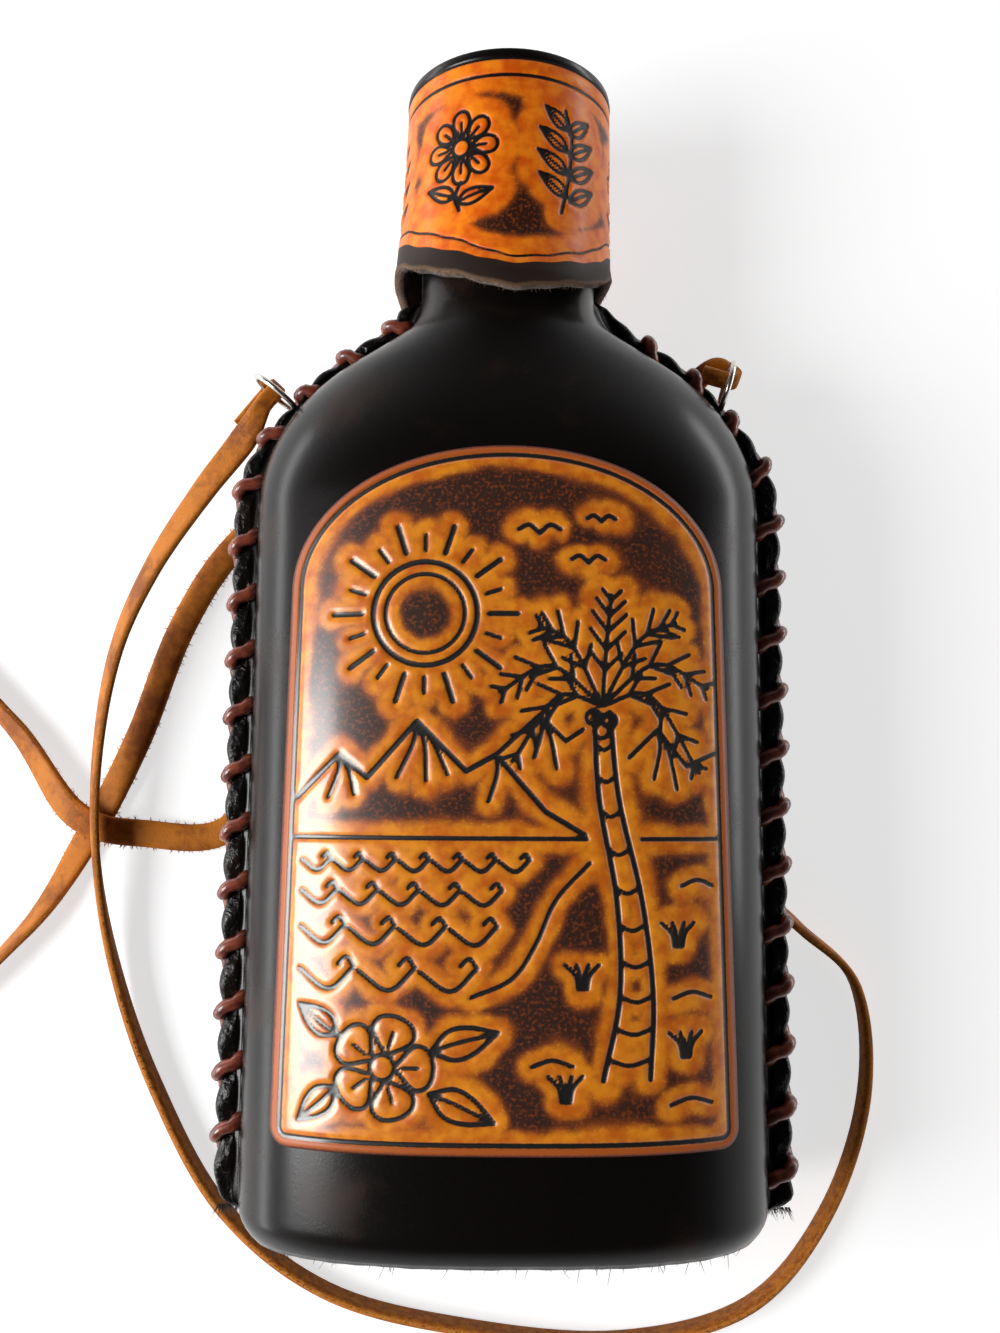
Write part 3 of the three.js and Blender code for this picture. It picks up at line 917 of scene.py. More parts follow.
@dataclass
class LeatherHalf:
    """One moulded half of the cover with its flange, as a sheet that gets a thickness."""

    form: FlaskForm
    seam: Seam
    face: Face
    thickness: float = 1.5 * MM
    gap: float = 0.2 * MM
    fillet: float = 1.3 * MM
    puff: float = 0.85 * MM
    pinch: float = 0.35 * MM
    corner: float = 3.0 * MM
    edge_round: float = 0.6 * MM
    heel_tuck: float = 2.2 * MM
    heel_height: float = 4.5 * MM
    waviness: float = 0.10 * MM
    raggedness: float = 0.1 * MM
    rows: int = 216
    body_columns: int = 90
    flange_steps: tuple[float, ...] = (0.0, 0.05, 0.12, 0.22, 0.36, 0.52, 0.68, 0.84)
    fillet_turns: tuple[float, ...] = (0.0, 0.25, 0.5, 0.75)

    def build(self) -> bpy.types.Object:
        """Builds and dresses the half.

        Returns:
            The piece.
        """
        points = self.points()
        if self.face is Face.BACK:
            points = points[:, ::-1]
        half = self.face.name.lower()
        finishes = [BLACK, BLACK_SUEDE, BLACK_SUEDE]
        bm = sheet(points)
        flange = np.zeros(points.shape[:2])
        steps = len(self.flange_steps)
        flange[:, :steps] = flange[:, -steps:] = 1.0
        carry(bm, "flange", flange)
        node = f"{half}_leather"
        made = make_piece(bm, f"{half}_cover", "bottle", finishes, [node])
        thicken(made, self.thickness)
        return made

    def points(self) -> np.ndarray:
        """Works out the sheet.

        Returns:
            Table of its points, row by row from the foot, left to right.
        """
        seam = self.seam
        distance = np.linspace(seam.line["s"][0], seam.line["s"][-1], self.rows)
        hole, outward = seam.at(distance)
        root = hole - outward * seam.hole_inset
        y = root[:, 1]
        rise = np.clip(1 - (y - seam.cover_foot) / self.heel_height, 0, 1)
        inset = self.heel_tuck * rise**2
        root = root - np.stack([inset, 0 * inset], -1)
        ends = np.clip(np.minimum(distance, seam.length - distance) / self.corner, 0, 1)
        taper = np.sqrt(1 - (1 - ends) ** 2)
        top = self.gap / 2 + self.thickness * np.sqrt(taper)
        fillet = self.fillet * taper + 0.04 * MM
        sides = [self.flange(side, distance, root, outward, top, fillet, taper) for side in (-1, 1)]
        depth = self.form.half_depth(y) + seam.cover_offset - inset
        body = self.body(root[:, 0], y, depth, top + fillet)
        table = np.concatenate([sides[0], body, sides[1][:, ::-1]], axis=1)
        table[..., 2] *= self.face.value
        return self.settled(table + np.array(self.form.foot))

    def flange(
        self,
        side: int,
        distance: np.ndarray,
        root: np.ndarray,
        outward: np.ndarray,
        top: np.ndarray,
        fillet: np.ndarray,
        taper: np.ndarray,
    ) -> np.ndarray:
        """Columns of one flange from its edge to the body, puffed up between the stitches.

        Args:
            side: -1 for the left and 1 for the right.
            distance: Place along the seam, per row.
            root: Where the flange leaves the body, per row.
            outward: Way outwards, per row.
            top: Height of its face over the seam, per row.
            fillet: Radius of the hollow at its root, per row.
            taper: 1 along the flange, falling to 0 past its ends.

        Returns:
            Points by row and column, the height counted from the seam outwards.
        """
        seam = self.seam
        width = (0.1 * MM + (seam.hole_inset + seam.margin(distance, side)) * taper)[:, None]
        out = width - (width - fillet[:, None]) * np.array(self.flange_steps)
        gain = seam.lean if self.face is Face.FRONT else seam.lean - 1
        free = (1 - np.cos(TURN * (seam.turns(distance)[:, None] - side * gain * out / width))) / 2
        swell = np.sin(math.pi * np.clip(0.12 + 0.76 * out / width, 0, 1)) * taper[:, None]
        drop = np.clip(1 - (width - out) / self.edge_round, 0, 1) ** 2 * self.edge_round
        height = top[:, None] + (free * self.puff - self.pinch) * swell - drop * taper[:, None]
        bend = np.array(self.fillet_turns) * math.pi / 2
        out = np.concatenate([out, fillet[:, None] * (1 - np.sin(bend))], axis=1)
        hollow = (top + fillet)[:, None] - fillet[:, None] * np.cos(bend)
        height = np.concatenate([height, hollow], axis=1)
        plan = root[:, None] + outward[:, None] * out[..., None]
        return np.stack([side * plan[..., 0], plan[..., 1], height], -1)

    def body(self, half: np.ndarray, y: np.ndarray, depth: np.ndarray, start: np.ndarray) -> np.ndarray:
        """Columns over the moulded body, evenly spaced from its left root to its right one.

        Args:
            half: Half width, per row.
            y: Place along the flask, per row.
            depth: Height of the crown over the seam, per row.
            start: Height at which the columns begin and end, per row.

        Returns:
            Points by row and column.
        """
        bend = np.linspace(0, math.pi, 721)
        rows = []
        for wide, place, deep, low in zip(half, y, depth, start):
            power = 2 / self.form.power(place)
            x = -wide * np.sign(np.cos(bend)) * np.abs(np.cos(bend)) ** power
            z = deep * np.sin(bend) ** power
            run = np.concatenate([[0], np.cumsum(np.hypot(np.diff(x), np.diff(z)))])
            middle = len(run) // 2
            first = np.interp(low, z[:middle], run[:middle])
            even = np.linspace(first, run[-1] - first, self.body_columns)
            across, up = np.interp(even, run, x), np.interp(even, run, z)
            rows.append(np.stack([across, np.full(self.body_columns, place), up], -1))
        return np.array(rows)

    def settled(self, table: np.ndarray) -> np.ndarray:
        """Gives the sheet the slight unevenness of hand-moulded leather and lays it on the table.

        Args:
            table: Points by row and column, which are changed.

        Returns:
            The same points.
        """
        x, y, z = table[..., 0], table[..., 1], table[..., 2]
        wave = np.sin(x / (9 * MM) + y / (23 * MM)) + np.sin(y / (13 * MM) - x / (31 * MM) + 1.0)
        wave += np.sin((x + y) / (17 * MM) + 2.0)
        swell = np.clip((z - self.form.foot.z) / (self.form.depth / 2), -1, 1)
        table[..., 2] = np.maximum(z + wave / 3 * self.waviness * swell, 0.02 * MM)
        rag = np.sin(x[0] / (1.7 * MM)) + np.sin(x[0] / (0.63 * MM) + 1.0) + np.sin(x[0] / (4.1 * MM))
        table[0, :, 1] += rag / 3 * self.raggedness
        return table


@dataclass
class Tooling:
    """Lines tooled into leather, in millimetres on the flat piece."""

    strokes: list[tuple[np.ndarray, float]] = field(default_factory=list)

    def line(self, *points: Point, half: float = 0.36) -> None:
        """Straight cuts from point to point, twice as wide as half."""
        self.strokes.append((np.array(points, float), half))

    def curve(self, *points: Point, half: float = 0.36) -> None:
        """A smooth cut through points."""
        self.strokes.append((through(points, 6), half))

    def arc(self, middle: Point, radius: float, start: float, end: float, half: float) -> None:
        """A round cut.

        Args:
            middle: Its middle.
            radius: Its radius.
            start: Direction of its first end from the middle, in degrees.
            end: Direction of its last end.
            half: Half the width of the cut.
        """
        turn = np.radians(np.linspace(start, end, max(6, int(abs(end - start) / 8))))
        points = np.array(middle) + radius * np.stack([np.cos(turn), np.sin(turn)], -1)
        self.strokes.append((points, half))

    def leaf(self, root: Point, tip: Point, width: float, half: float) -> None:
        """A pointed leaf with a midrib.

        Args:
            root: Where the leaf grows from.
            tip: Its point.
            width: Its greatest width.
            half: Half the width of the cuts.
        """
        start, end = np.array(root, float), np.array(tip, float)
        along = end - start
        across = np.array([-along[1], along[0]]) / np.linalg.norm(along) * width / 2
        for side in (-1, 1):
            belly = start + along * 0.3 + side * across * 0.9
            shoulder = start + along * 0.62 + side * across * 0.8
            self.curve(start, belly, shoulder, end, half=half)
        self.curve(start, start + along * 0.4 + across * 0.08, start + along * 0.85, half=half * 0.9)

    def bloom(self, middle: Point, radius: float, petals: int, half: float) -> None:
        """An open flower.

        Args:
            middle: Its middle.
            radius: Length of its petals from the middle.
            petals: Number of petals.
            half: Half the width of the cuts.
        """
        centre = np.array(middle, float)
        self.arc(middle, radius * 0.24, 0, 360, half)
        for k in range(petals):
            turn = TURN * k / petals
            way = np.array([math.cos(turn), math.sin(turn)])
            aside = np.array([-way[1], way[0]])
            spread = radius * math.tan(math.pi / petals) * 0.6
            side = [(0.28, 0.12), (0.62, 0.92), (0.9, 0.75)]
            outline = [*side, (1.0, 0.0), *[(a, -b) for a, b in side[::-1]]]
            self.curve(*(centre + way * radius * a + aside * spread * b for a, b in outline), half=half)
            self.line(centre + way * radius * 0.4, centre + way * radius * 0.7, half=half * 0.9)

    def distance(self, x: np.ndarray, y: np.ndarray, reach: float = 12.0) -> np.ndarray:
        """Distance of points from the edge of the nearest cut, negative inside it.

        Args:
            x: First coordinates.
            y: Second coordinates.
            reach: Distance past which points all count alike.

        Returns:
            The distances.
        """
        best = np.full(x.shape, reach)
        for points, half in self.strokes:
            low, high = points.min(0) - reach, points.max(0) + reach
            near = (x > low[0]) & (x < high[0]) & (y > low[1]) & (y < high[1])
            px, py = x[near], y[near]
            found = np.full(px.shape, reach)
            for (ax, ay), (bx, by) in zip(points, points[1:]):
                dx, dy = bx - ax, by - ay
                size = max(dx * dx + dy * dy, 1e-9)
                share = np.clip(((px - ax) * dx + (py - ay) * dy) / size, 0, 1)
                found = np.minimum(found, np.hypot(px - ax - share * dx, py - ay - share * dy))
            best[near] = np.minimum(best[near], found - half)
        return best


@dataclass
class TooledPanel:
    """Raised amber panel on the front: sides that draw in a little towards a flat arch."""

    form: FlaskForm
    seam: Seam
    width: float = 68.0
    foot_width: float = 71.0
    foot: float = 13.2
    side: float = 84.3
    arch: float = 22.5
    corner: float = 3.0
    rise: float = 0.7
    sink: float = 0.45
    roll: float = 1.1
    border_line: float = 1.85
    border_half: float = 0.36
    groove: float = 0.26
    spacing: float = 0.44
    thickness: float = 0.9
    edge_steps: tuple[float, ...] = (0.0, 0.1, 0.28, 0.52, 0.8)

    def build(self) -> bpy.types.Object:
        """Builds and dresses the panel.

        Returns:
            The piece.
        """
        x, y = self.plan()
        edge = self.inside(x, y)
        border = np.abs(edge - self.border_line) - self.border_half
        stroke = np.minimum(self.drawing().distance(x, y), border)
        roll = np.clip(edge / self.roll, 0, 1)
        lift = -self.sink + (self.rise + self.sink) * np.sqrt(1 - (1 - roll) ** 2)
        lift = lift - self.groove * cut_depth(stroke)
        place = np.array(self.form.foot)
        z = self.form.height(x * MM, (y + self.foot) * MM, self.seam.cover_offset + lift * MM)
        points = np.stack([x * MM, (y + self.foot) * MM, z], -1) + place
        bm = sheet(points)
        carry(bm, "stroke", stroke)
        carry(bm, "edge", edge)
        finishes = [PANEL_AMBER, BLACK_SUEDE, PANEL_AMBER]
        made = make_piece(bm, "tooled_panel", "bottle", finishes)
        thicken(made, self.thickness * MM)
        return made

    def half_width(self, y: np.ndarray) -> np.ndarray:
        """Half the width between the sides at a height over the foot."""
        share = np.clip((y - self.corner) / (self.side - self.corner), 0, 1)
        return (self.foot_width + (self.width - self.foot_width) * share) / 2

    def plan(self) -> tuple[np.ndarray, np.ndarray]:
        """Lays rows and columns of points over the panel, closer together at its border.

        Returns:
            The first and the second coordinates, by row and column.
        """
        half = self.width / 2
        steps = np.array(self.edge_steps)
        inner = half - steps[-1]
        middle = np.linspace(-inner, inner, round(2 * inner / self.spacing))
        columns = np.concatenate([-half + steps[:-1], middle, half - steps[-2::-1]]) / half
        straight = np.linspace(steps[-1], self.side, round(self.side / self.spacing))
        y = np.concatenate([steps[:-1], straight])
        low = np.clip(self.corner - y, 0, self.corner)
        wide = self.half_width(y) - self.corner + np.sqrt(self.corner**2 - low**2)
        turn = np.linspace(0, math.pi / 2, round(1.3 * half / self.spacing))[1:-1]
        y = np.concatenate([y, self.side + self.arch * np.sin(turn)])
        wide = np.concatenate([wide, half * np.cos(turn)])
        return wide[:, None] * columns, y[:, None] + 0 * columns

    def inside(self, x: np.ndarray, y: np.ndarray) -> np.ndarray:
        """Measures how far points lie inside the panel's border.

        Args:
            x: First coordinates.
            y: Second coordinates.

        Returns:
            The distances.
        """
        half = self.half_width(y)
        over_x = np.maximum(np.abs(x) - (half - self.corner), 0)
        over_y = np.maximum(self.corner - y, 0)
        corner = self.corner - np.hypot(over_x, over_y)
        straight = np.where((over_x > 0) & (over_y > 0), corner, np.minimum(half - np.abs(x), y))
        up = np.maximum(y - self.side, 0)
        level = np.hypot(x / half, up / self.arch)
        slope = np.hypot(x / half**2, up / self.arch**2)
        arch = (1 - level) * level / np.maximum(slope, 1e-6)
        return np.maximum(np.where(up > 0, arch, straight), 0)

    def drawing(self) -> Tooling:
        """Sun, birds and hills over a bay with a palm on its shore and a flower before it.

        Returns:
            The drawing, from the middle of the panel's foot.
        """
        art = Tooling()
        self.sky(art)
        self.hills(art)
        self.water(art)
        self.palm(art)
        self.foreground(art)
        return art

    def sky(self, art: Tooling) -> None:
        """Cuts the sun, its rays and three birds.

        Args:
            art: Drawing that they are added to.
        """
        sun = (-12.5, 80.0)
        art.arc(sun, 8.0, 0, 360, 0.42)
        art.arc(sun, 6.1, 0, 360, 0.33)
        for k in range(20):
            turn = TURN * k / 20
            way = np.array([math.cos(turn), math.sin(turn)])
            far, half = (14.2, 0.42) if k % 2 == 0 else (12.2, 0.34)
            art.line(np.array(sun) + way * 9.8, np.array(sun) + way * far, half=half)
        for x, y, size in ((5.0, 92.5, 3.2), (12.5, 88.0, 2.6), (14.5, 94.5, 2.2)):
            for wing in (-size, size):
                crest = (x + wing * 0.5, y + size * 0.42)
                art.curve((x, y), crest, (x + wing, y + size * 0.2))

    def hills(self, art: Tooling) -> None:
        """Cuts two ranges of hills with the folds on their slopes.

        Args:
            art: Drawing that they are added to.
        """
        near = [(-32.0, 52.0), (-25.5, 58.5), (-21.0, 55.0), (-13.5, 63.5), (-6.0, 56.0)]
        art.line(*near, (-1.5, 58.5), (6.0, 50.0), (11.8, 46.6), half=0.42)
        art.line((-1.5, 58.5), (5.0, 64.5), (9.0, 60.6), (11.6, 62.4), half=0.36)
        art.line((18.6, 58.2), (23.0, 62.5), (27.5, 57.0), (32.0, 59.0), half=0.36)
        folds = [
            (-25.5, 58.5, -27.0, 52.0), (-25.5, 58.5, -23.0, 52.5), (-13.5, 63.5, -16.5, 55.0),
            (-13.5, 63.5, -12.0, 54.5), (-13.5, 63.5, -8.8, 55.5), (-1.5, 58.5, -2.6, 51.5),
            (5.0, 64.5, 4.2, 58.0), (5.0, 64.5, 7.6, 56.5), (23.0, 62.5, 22.4, 55.0),
            (23.0, 62.5, 26.0, 53.5),
        ]
        for x0, y0, x1, y1 in folds:
            art.curve((x0, y0), (x0 * 0.6 + x1 * 0.4 + 0.6, y0 * 0.6 + y1 * 0.4), (x1, y1), half=0.34)

    def water(self, art: Tooling) -> None:
        """Cuts the far shore and rows of waves that grow towards the viewer.

        Args:
            art: Drawing that they are added to.
        """
        art.line((-32.0, 46.0), (12.2, 46.0), half=0.34)
        art.line((20.4, 46.0), (32.0, 46.0), half=0.34)
        shore = [(12.6, 42.5), (7.5, 37.0), (4.5, 30.5), (1.0, 25.5), (-5.0, 22.8)]
        art.curve(*shore, half=0.34)
        for y, wave, count in ((42.6, 5.0, 7), (38.0, 6.2, 5), (32.6, 7.6, 4), (26.4, 9.2, 3)):
            for k in range(count):
                x = -31.0 + wave * k
                crest = (x + wave * 0.92, y + wave * 0.06)
                art.curve((x, y), (x + wave * 0.5, y - wave * 0.3), crest, half=0.36)
                curl = (x + wave * 0.66, y + wave * 0.1)
                art.curve(crest, (x + wave * 0.8, y + wave * 0.22), curl, half=0.34)

    def palm(self, art: Tooling) -> None:
        """Cuts a palm: a ringed trunk and feathered leaves.

        Args:
            art: Drawing that they are added to.
        """
        left = through([(14.5, 11.0), (17.0, 23.0), (16.6, 37.0), (14.0, 52.0), (13.3, 65.0)], 8)
        right = through([(21.5, 11.0), (22.0, 23.0), (20.4, 37.0), (17.0, 52.0), (15.7, 65.0)], 8)
        art.strokes += [(left, 0.42), (right, 0.42)]
        for a, b in zip(left[2::3], right[2::3]):
            art.curve(a, (a + b) / 2 - np.array([0.0, 0.9]), b, half=0.34)
        crown = np.array([14.5, 66.0])
        left_tips = ((1.0, 57.5, 5.5), (-1.0, 68.0, 5.0), (5.0, 78.0, 3.5), (16.0, 83.0, 1.0))
        right_tips = ((26.0, 79.0, 3.5), (31.0, 69.0, 5.0), (29.5, 56.0, 6.5))
        for tip_x, tip_y, rise in left_tips + right_tips:
            tip = np.array([tip_x, tip_y])
            rib = through([crown, (crown + tip) / 2 + np.array([0.0, rise]), tip], 9)
            art.strokes.append((rib, 0.34))
            for k in range(5, len(rib) - 1, 3):
                along = rib[k + 1] - rib[k - 1]
                along = along / np.linalg.norm(along)
                for side in (-1, 1):
                    aside = np.array([-along[1], along[0]]) * side
                    size = 4.2 * math.sin(math.pi * (0.15 + 0.75 * k / len(rib)))
                    art.line(rib[k], rib[k] + (along * 0.75 + aside * 0.65) * size, half=0.34)
        for x, y in ((13.2, 64.2), (15.6, 63.8), (14.4, 62.2)):
            art.arc((x, y), 1.1, 0, 360, 0.34)

    def foreground(self, art: Tooling) -> None:
        """Cuts a flower with leaves at the lower left, and tufts and ripples on the sand.

        Args:
            art: Drawing that they are added to.
        """
        art.bloom((-18.0, 12.6), 7.6, 5, 0.34)
        art.leaf((-11.0, 9.0), (-1.5, 5.0), 4.6, 0.36)
        art.leaf((-10.8, 15.0), (-1.0, 17.8), 4.6, 0.36)
        art.leaf((-25.0, 9.6), (-30.6, 4.4), 3.8, 0.36)
        art.leaf((-24.8, 17.0), (-30.8, 21.2), 3.6, 0.36)
        for x, y in ((9.0, 8.0), (27.0, 14.0), (26.0, 30.0), (11.5, 24.0)):
            for lean in (-2.2, -0.8, 0.7, 2.0):
                blade = [(x + lean * 0.3, y), (x + lean * 0.5, y + 2.0), (x + lean * 1.2, y + 3.6)]
                art.curve(*blade, half=0.34)
        for x, y, size in ((4.0, 13.0, 6.0), (24.5, 7.2, 6.5), (25.0, 22.5, 6.0), (26.5, 39.0, 5.0)):
            art.curve((x, y), (x + size / 2, y + 0.9), (x + size, y), half=0.34)


@dataclass
class Lacing:
    """Round lace whipped over both flanges, one length down each side."""

    form: FlaskForm
    seam: Seam
    radius: float = 1.12 * MM
    height: float = 2.3 * MM
    sink: float = 0.3 * MM
    inset: float = 1.3 * MM
    steps: int = 26
    sides: int = 12

    def build(self) -> None:
        """Builds and dresses the two laces."""
        for side, name in ((-1, "left"), (1, "right")):
            centres, along = self.path(side)
            turn = np.linspace(0, TURN, self.sides, endpoint=False)
            outline = self.radius * np.stack([np.cos(turn), np.sin(turn)], -1)
            bm = tube(centres, along, outline)
            close(bm)
            make_piece(bm, f"{name}_lace", "bottle", [LACE], [f"lace_{name}"])

    def path(self, side: int) -> tuple[np.ndarray, np.ndarray]:
        """Middle line of one lace and the way along its seam at each point.

        Args:
            side: -1 for the left lace, which descends, and 1 for the right, which climbs.

        Returns:
            Points and directions.
        """
        seam = self.seam
        turns = np.linspace(0, seam.stitches, seam.stitches * self.steps + 1)
        stitch = np.minimum(np.floor(turns), seam.stitches - 1)
        share = turns - stitch
        front = smooth(share, 0.06, 0.46) * seam.lean
        back = smooth(share, 0.54, 0.94) * (1 - seam.lean)
        advance = (stitch + front + back) * seam.pitch
        distance = seam.end_hole + advance if side > 0 else seam.length - seam.end_hole - advance
        hole, outward = seam.at(distance)
        reach = seam.margin(distance, side) + self.radius - self.sink
        c, s = np.cos(math.pi * (1 - 2 * share)), np.sin(math.pi * (1 - 2 * share))
        across = (reach + self.inset) / 2 * (1 + np.sign(c) * np.sqrt(np.abs(c))) - self.inset
        rise = self.height * np.sign(s) * np.sqrt(np.abs(s))
        plan = hole + outward * across[:, None]
        centres = np.stack([side * plan[:, 0], plan[:, 1], rise], -1) + np.array(self.form.foot)
        along = np.stack([-side * outward[:, 1], outward[:, 0], 0 * rise], -1)
        return centres, along


@dataclass
class BasePatch:
    """Oval of leather that closes the cover's foot under the glass."""

    form: FlaskForm
    rim: float = 6.0 * MM
    dome: float = 0.15 * MM
    segments: int = 96

    def build(self) -> bpy.types.Object:
        """Builds and dresses the patch.

        Returns:
            The piece.
        """
        low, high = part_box("base_leather")
        half = (high - low) / 2
        bm = bmesh.new()
        bmesh.ops.create_circle(bm, cap_ends=True, radius=1.0, segments=self.segments)
        power = 2 / self.form.fullness
        for vert in bm.verts:
            x, z = (math.copysign(abs(c) ** power, c) for c in vert.co.xy)
            vert.co = (half.x * x, 0, half.z * z)
        foot = bm.faces[:]
        raised = bmesh.ops.extrude_face_region(bm, geom=foot)["geom"]
        lifted = [item for item in raised if isinstance(item, bmesh.types.BMVert)]
        bmesh.ops.translate(bm, verts=lifted, vec=(0, high.y - low.y, 0))
        bmesh.ops.inset_region(bm, faces=foot, thickness=self.rim, depth=-self.dome)
        bmesh.ops.inset_region(bm, faces=foot, thickness=self.rim, depth=-self.dome)
        place = Vector(((low.x + high.x) / 2, low.y, (low.z + high.z) / 2))
        bmesh.ops.translate(bm, verts=bm.verts, vec=place)
        bmesh.ops.recalc_face_normals(bm, faces=bm.faces)
        return make_piece(bm, "base_patch", "bottle", [BLACK], ["base_leather"])


@dataclass
class ShoulderRing:
    """Wire ring that hangs in a hole of the flanges and carries the strap."""

    side: str
    wire: float = 1.0 * MM
    opening: float = math.radians(5)
    steps: int = 72
    wire_segments: int = 16

    @property
    def hole(self) -> Vector:
        """Middle of the hole that it hangs in."""
        joint = next(j for j in frame["joints"] if j["name"] == f"{self.side}_ring_swing")
        return Vector(joint["pos_m"])

    @property
    def middle(self) -> Vector:
        """Middle of the ring at rest."""
        low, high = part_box(f"ring_{self.side}")
        return (low + high) / 2

    def build(self) -> bpy.types.Object:
        """Builds and dresses the ring.

        Returns:
            The piece.
        """
        reach = self.middle - self.hole
        bm = bmesh.new()
        bmesh.ops.create_circle(bm, cap_ends=True, radius=self.wire / 2, segments=self.wire_segments)
        bmesh.ops.rotate(bm, verts=bm.verts, matrix=Matrix.Rotation(self.opening / 2, 3, "Y"))
        bmesh.ops.translate(bm, verts=bm.verts, vec=(reach.length, 0, 0))
        bmesh.ops.spin(
            bm,
            geom=bm.faces[:],
            cent=(0, 0, 0),
            axis=(0, 1, 0),
            angle=TURN - self.opening,
            steps=self.steps,
        )
        bmesh.ops.recalc_face_normals(bm, faces=bm.faces)
        turn = Matrix.Rotation(math.atan2(reach.y, reach.x), 3, "Z")
        bmesh.ops.rotate(bm, verts=bm.verts, matrix=turn)
        bmesh.ops.translate(bm, verts=bm.verts, vec=self.middle)
        name, body, node = f"{self.side}_ring_wire", f"{self.side}_ring", f"ring_{self.side}"
        return make_piece(bm, name, body, [NICKEL], [node])


@dataclass
class ScrewCap:
    """Screw cap in its leather: a tooled sleeve and a black disc on top."""

    thickness: float = 1.7 * MM
    flare: float = 0.75 * MM
    flare_limit: float = 1.5 * MM
    flare_height: float = 4.8 * MM
    lean: float = 1.9 * MM
    tongue: float = 9.2 * MM
    tongue_turn: float = math.radians(8)
    side_foot: float = 63.1 * MM
    groove: float = 0.24 * MM
    columns: int = 290
    rows: int = 98
    band_line: float = 5.9
    band_half: float = 0.24
    band_wave: float = 0.6
    top_line: float = 2.6
    top_half: float = 0.3
    disc_round: float = 0.45 * MM
    fibres: int = 420
    seed: int = 3

    def build(self) -> None:
        """Builds and dresses the leather, and dresses the plastic cap and its liner."""
        self.sleeve()
        self.top()
        dress_node("cap_shell", CAP_PLASTIC)
        dress_node("cap_liner", FOAM)

    def sleeve(self) -> bpy.types.Object:
        """Sleeve with a tongue over the front and the back of the neck.

        Returns:
            The piece.
        """
        low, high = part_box("cap_sleeve")
        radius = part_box("cap_top")[1].x
        middle = Vector(((low.x + high.x) / 2, 0, (low.z + high.z) / 2))
        turn = np.linspace(-math.pi * 1.5, math.pi * 0.5, self.columns)[::-1]
        share = np.linspace(0, 1, self.rows)[:, None]
        foot = self.side_foot - self.tongue * np.abs(np.sin(turn + self.tongue_turn)) ** 1.6
        foot = foot + 0.25 * MM * np.sin(7 * turn) + 0.12 * MM * np.sin(19 * turn + 1.0)
        y = foot + (high.y - foot) * share
        fall = np.clip((low.y - y) / self.flare_height + 1, 0, None)
        arc = (turn - math.pi / 2) * radius / MM
        edge, down = (y - foot) / MM, (high.y - y) / MM
        stroke = self.drawing(radius).distance(arc + 0 * y, down)
        band = self.band_line + self.band_wave * np.sin(3 * turn + 0.6)
        stroke = np.minimum(stroke, np.abs(edge - band) - self.band_half)
        stroke = np.minimum(stroke, np.abs(down - self.top_line) - self.top_half)
        lean = self.lean * np.clip(-np.cos(turn), 0, 1) ** 2 * (1 - share) ** 1.4
        reach = radius + np.minimum(self.flare * fall**1.3, self.flare_limit) + lean
        reach = reach - self.groove * cut_depth(stroke)
        points = np.stack([reach * np.cos(turn), y, reach * np.sin(turn)], -1) + np.array(middle)
        bm = sheet(points)
        carry(bm, "stroke", stroke)
        carry(bm, "edge", edge)
        bmesh.ops.remove_doubles(bm, verts=bm.verts, dist=1e-6)
        finishes = [SLEEVE_AMBER, RAW_SUEDE, RAW_SUEDE]
        made = make_piece(bm, "cap_wrap", "cap", finishes, ["cap_sleeve"])
        thicken(made, self.thickness)
        self.fringe(points[0], turn)
        return made

    def fringe(self, edge: np.ndarray, turn: np.ndarray) -> bpy.types.Object:
        """Loose fibres on the sleeve's raw lower edge.

        Args:
            edge: Points of the lower edge.
            turn: Direction of each point from the cap's axis.

        Returns:
            The piece.
        """
        draw = random.Random(self.seed)
        bm = bmesh.new()
        for _ in range(self.fibres):
            k = draw.randrange(len(edge))
            inward = Vector((-math.cos(turn[k]), 0, -math.sin(turn[k])))
            root = Vector(edge[k]) + inward * draw.uniform(0.0, 1.0) * self.thickness
            way = Vector((draw.uniform(-0.6, 0.6), -1.0, draw.uniform(-0.6, 0.6)))
            fibre(bm, root, way.normalized() * draw.uniform(0.3, 0.9) * MM)
        return make_piece(bm, "sleeve_fibres", "cap", [RAW_SUEDE])

    def drawing(self, radius: float) -> Tooling:
        """Blooms and leafy sprigs round the sleeve, by arc and distance from the top.

        Args:
            radius: Radius of the sleeve.

        Returns:
            The drawing.
        """
        art = Tooling()
        repeats = 3
        period = TURN * radius / MM / repeats
        for k in range(-repeats, repeats):
            x = (k + 0.22) * period
            art.bloom((x, 14.5), 6.4, 8, 0.32)
            art.curve((x, 20.6), (x + 1.0, 23.0), (x + 0.2, 25.4))
            art.leaf((x + 0.8, 23.0), (x + 6.6, 20.4), 2.6, 0.32)
            art.leaf((x + 0.8, 24.0), (x - 5.6, 22.2), 2.6, 0.32)
            sprig = x + period / 2
            stem = [(1.5, 25.5), (0.0, 19.0), (-0.6, 12.0), (0.6, 7.4)]
            art.curve(*((sprig + aside, h) for aside, h in stem))
            for h, size in ((22.6, 5.6), (18.6, 5.8), (14.6, 5.4), (10.8, 4.4)):
                art.leaf((sprig + 0.1, h), (sprig + size, h - 3.4), 2.5, 0.32)
                art.leaf((sprig - 0.1, h + 0.6), (sprig - size, h - 2.8), 2.5, 0.32)
        return art

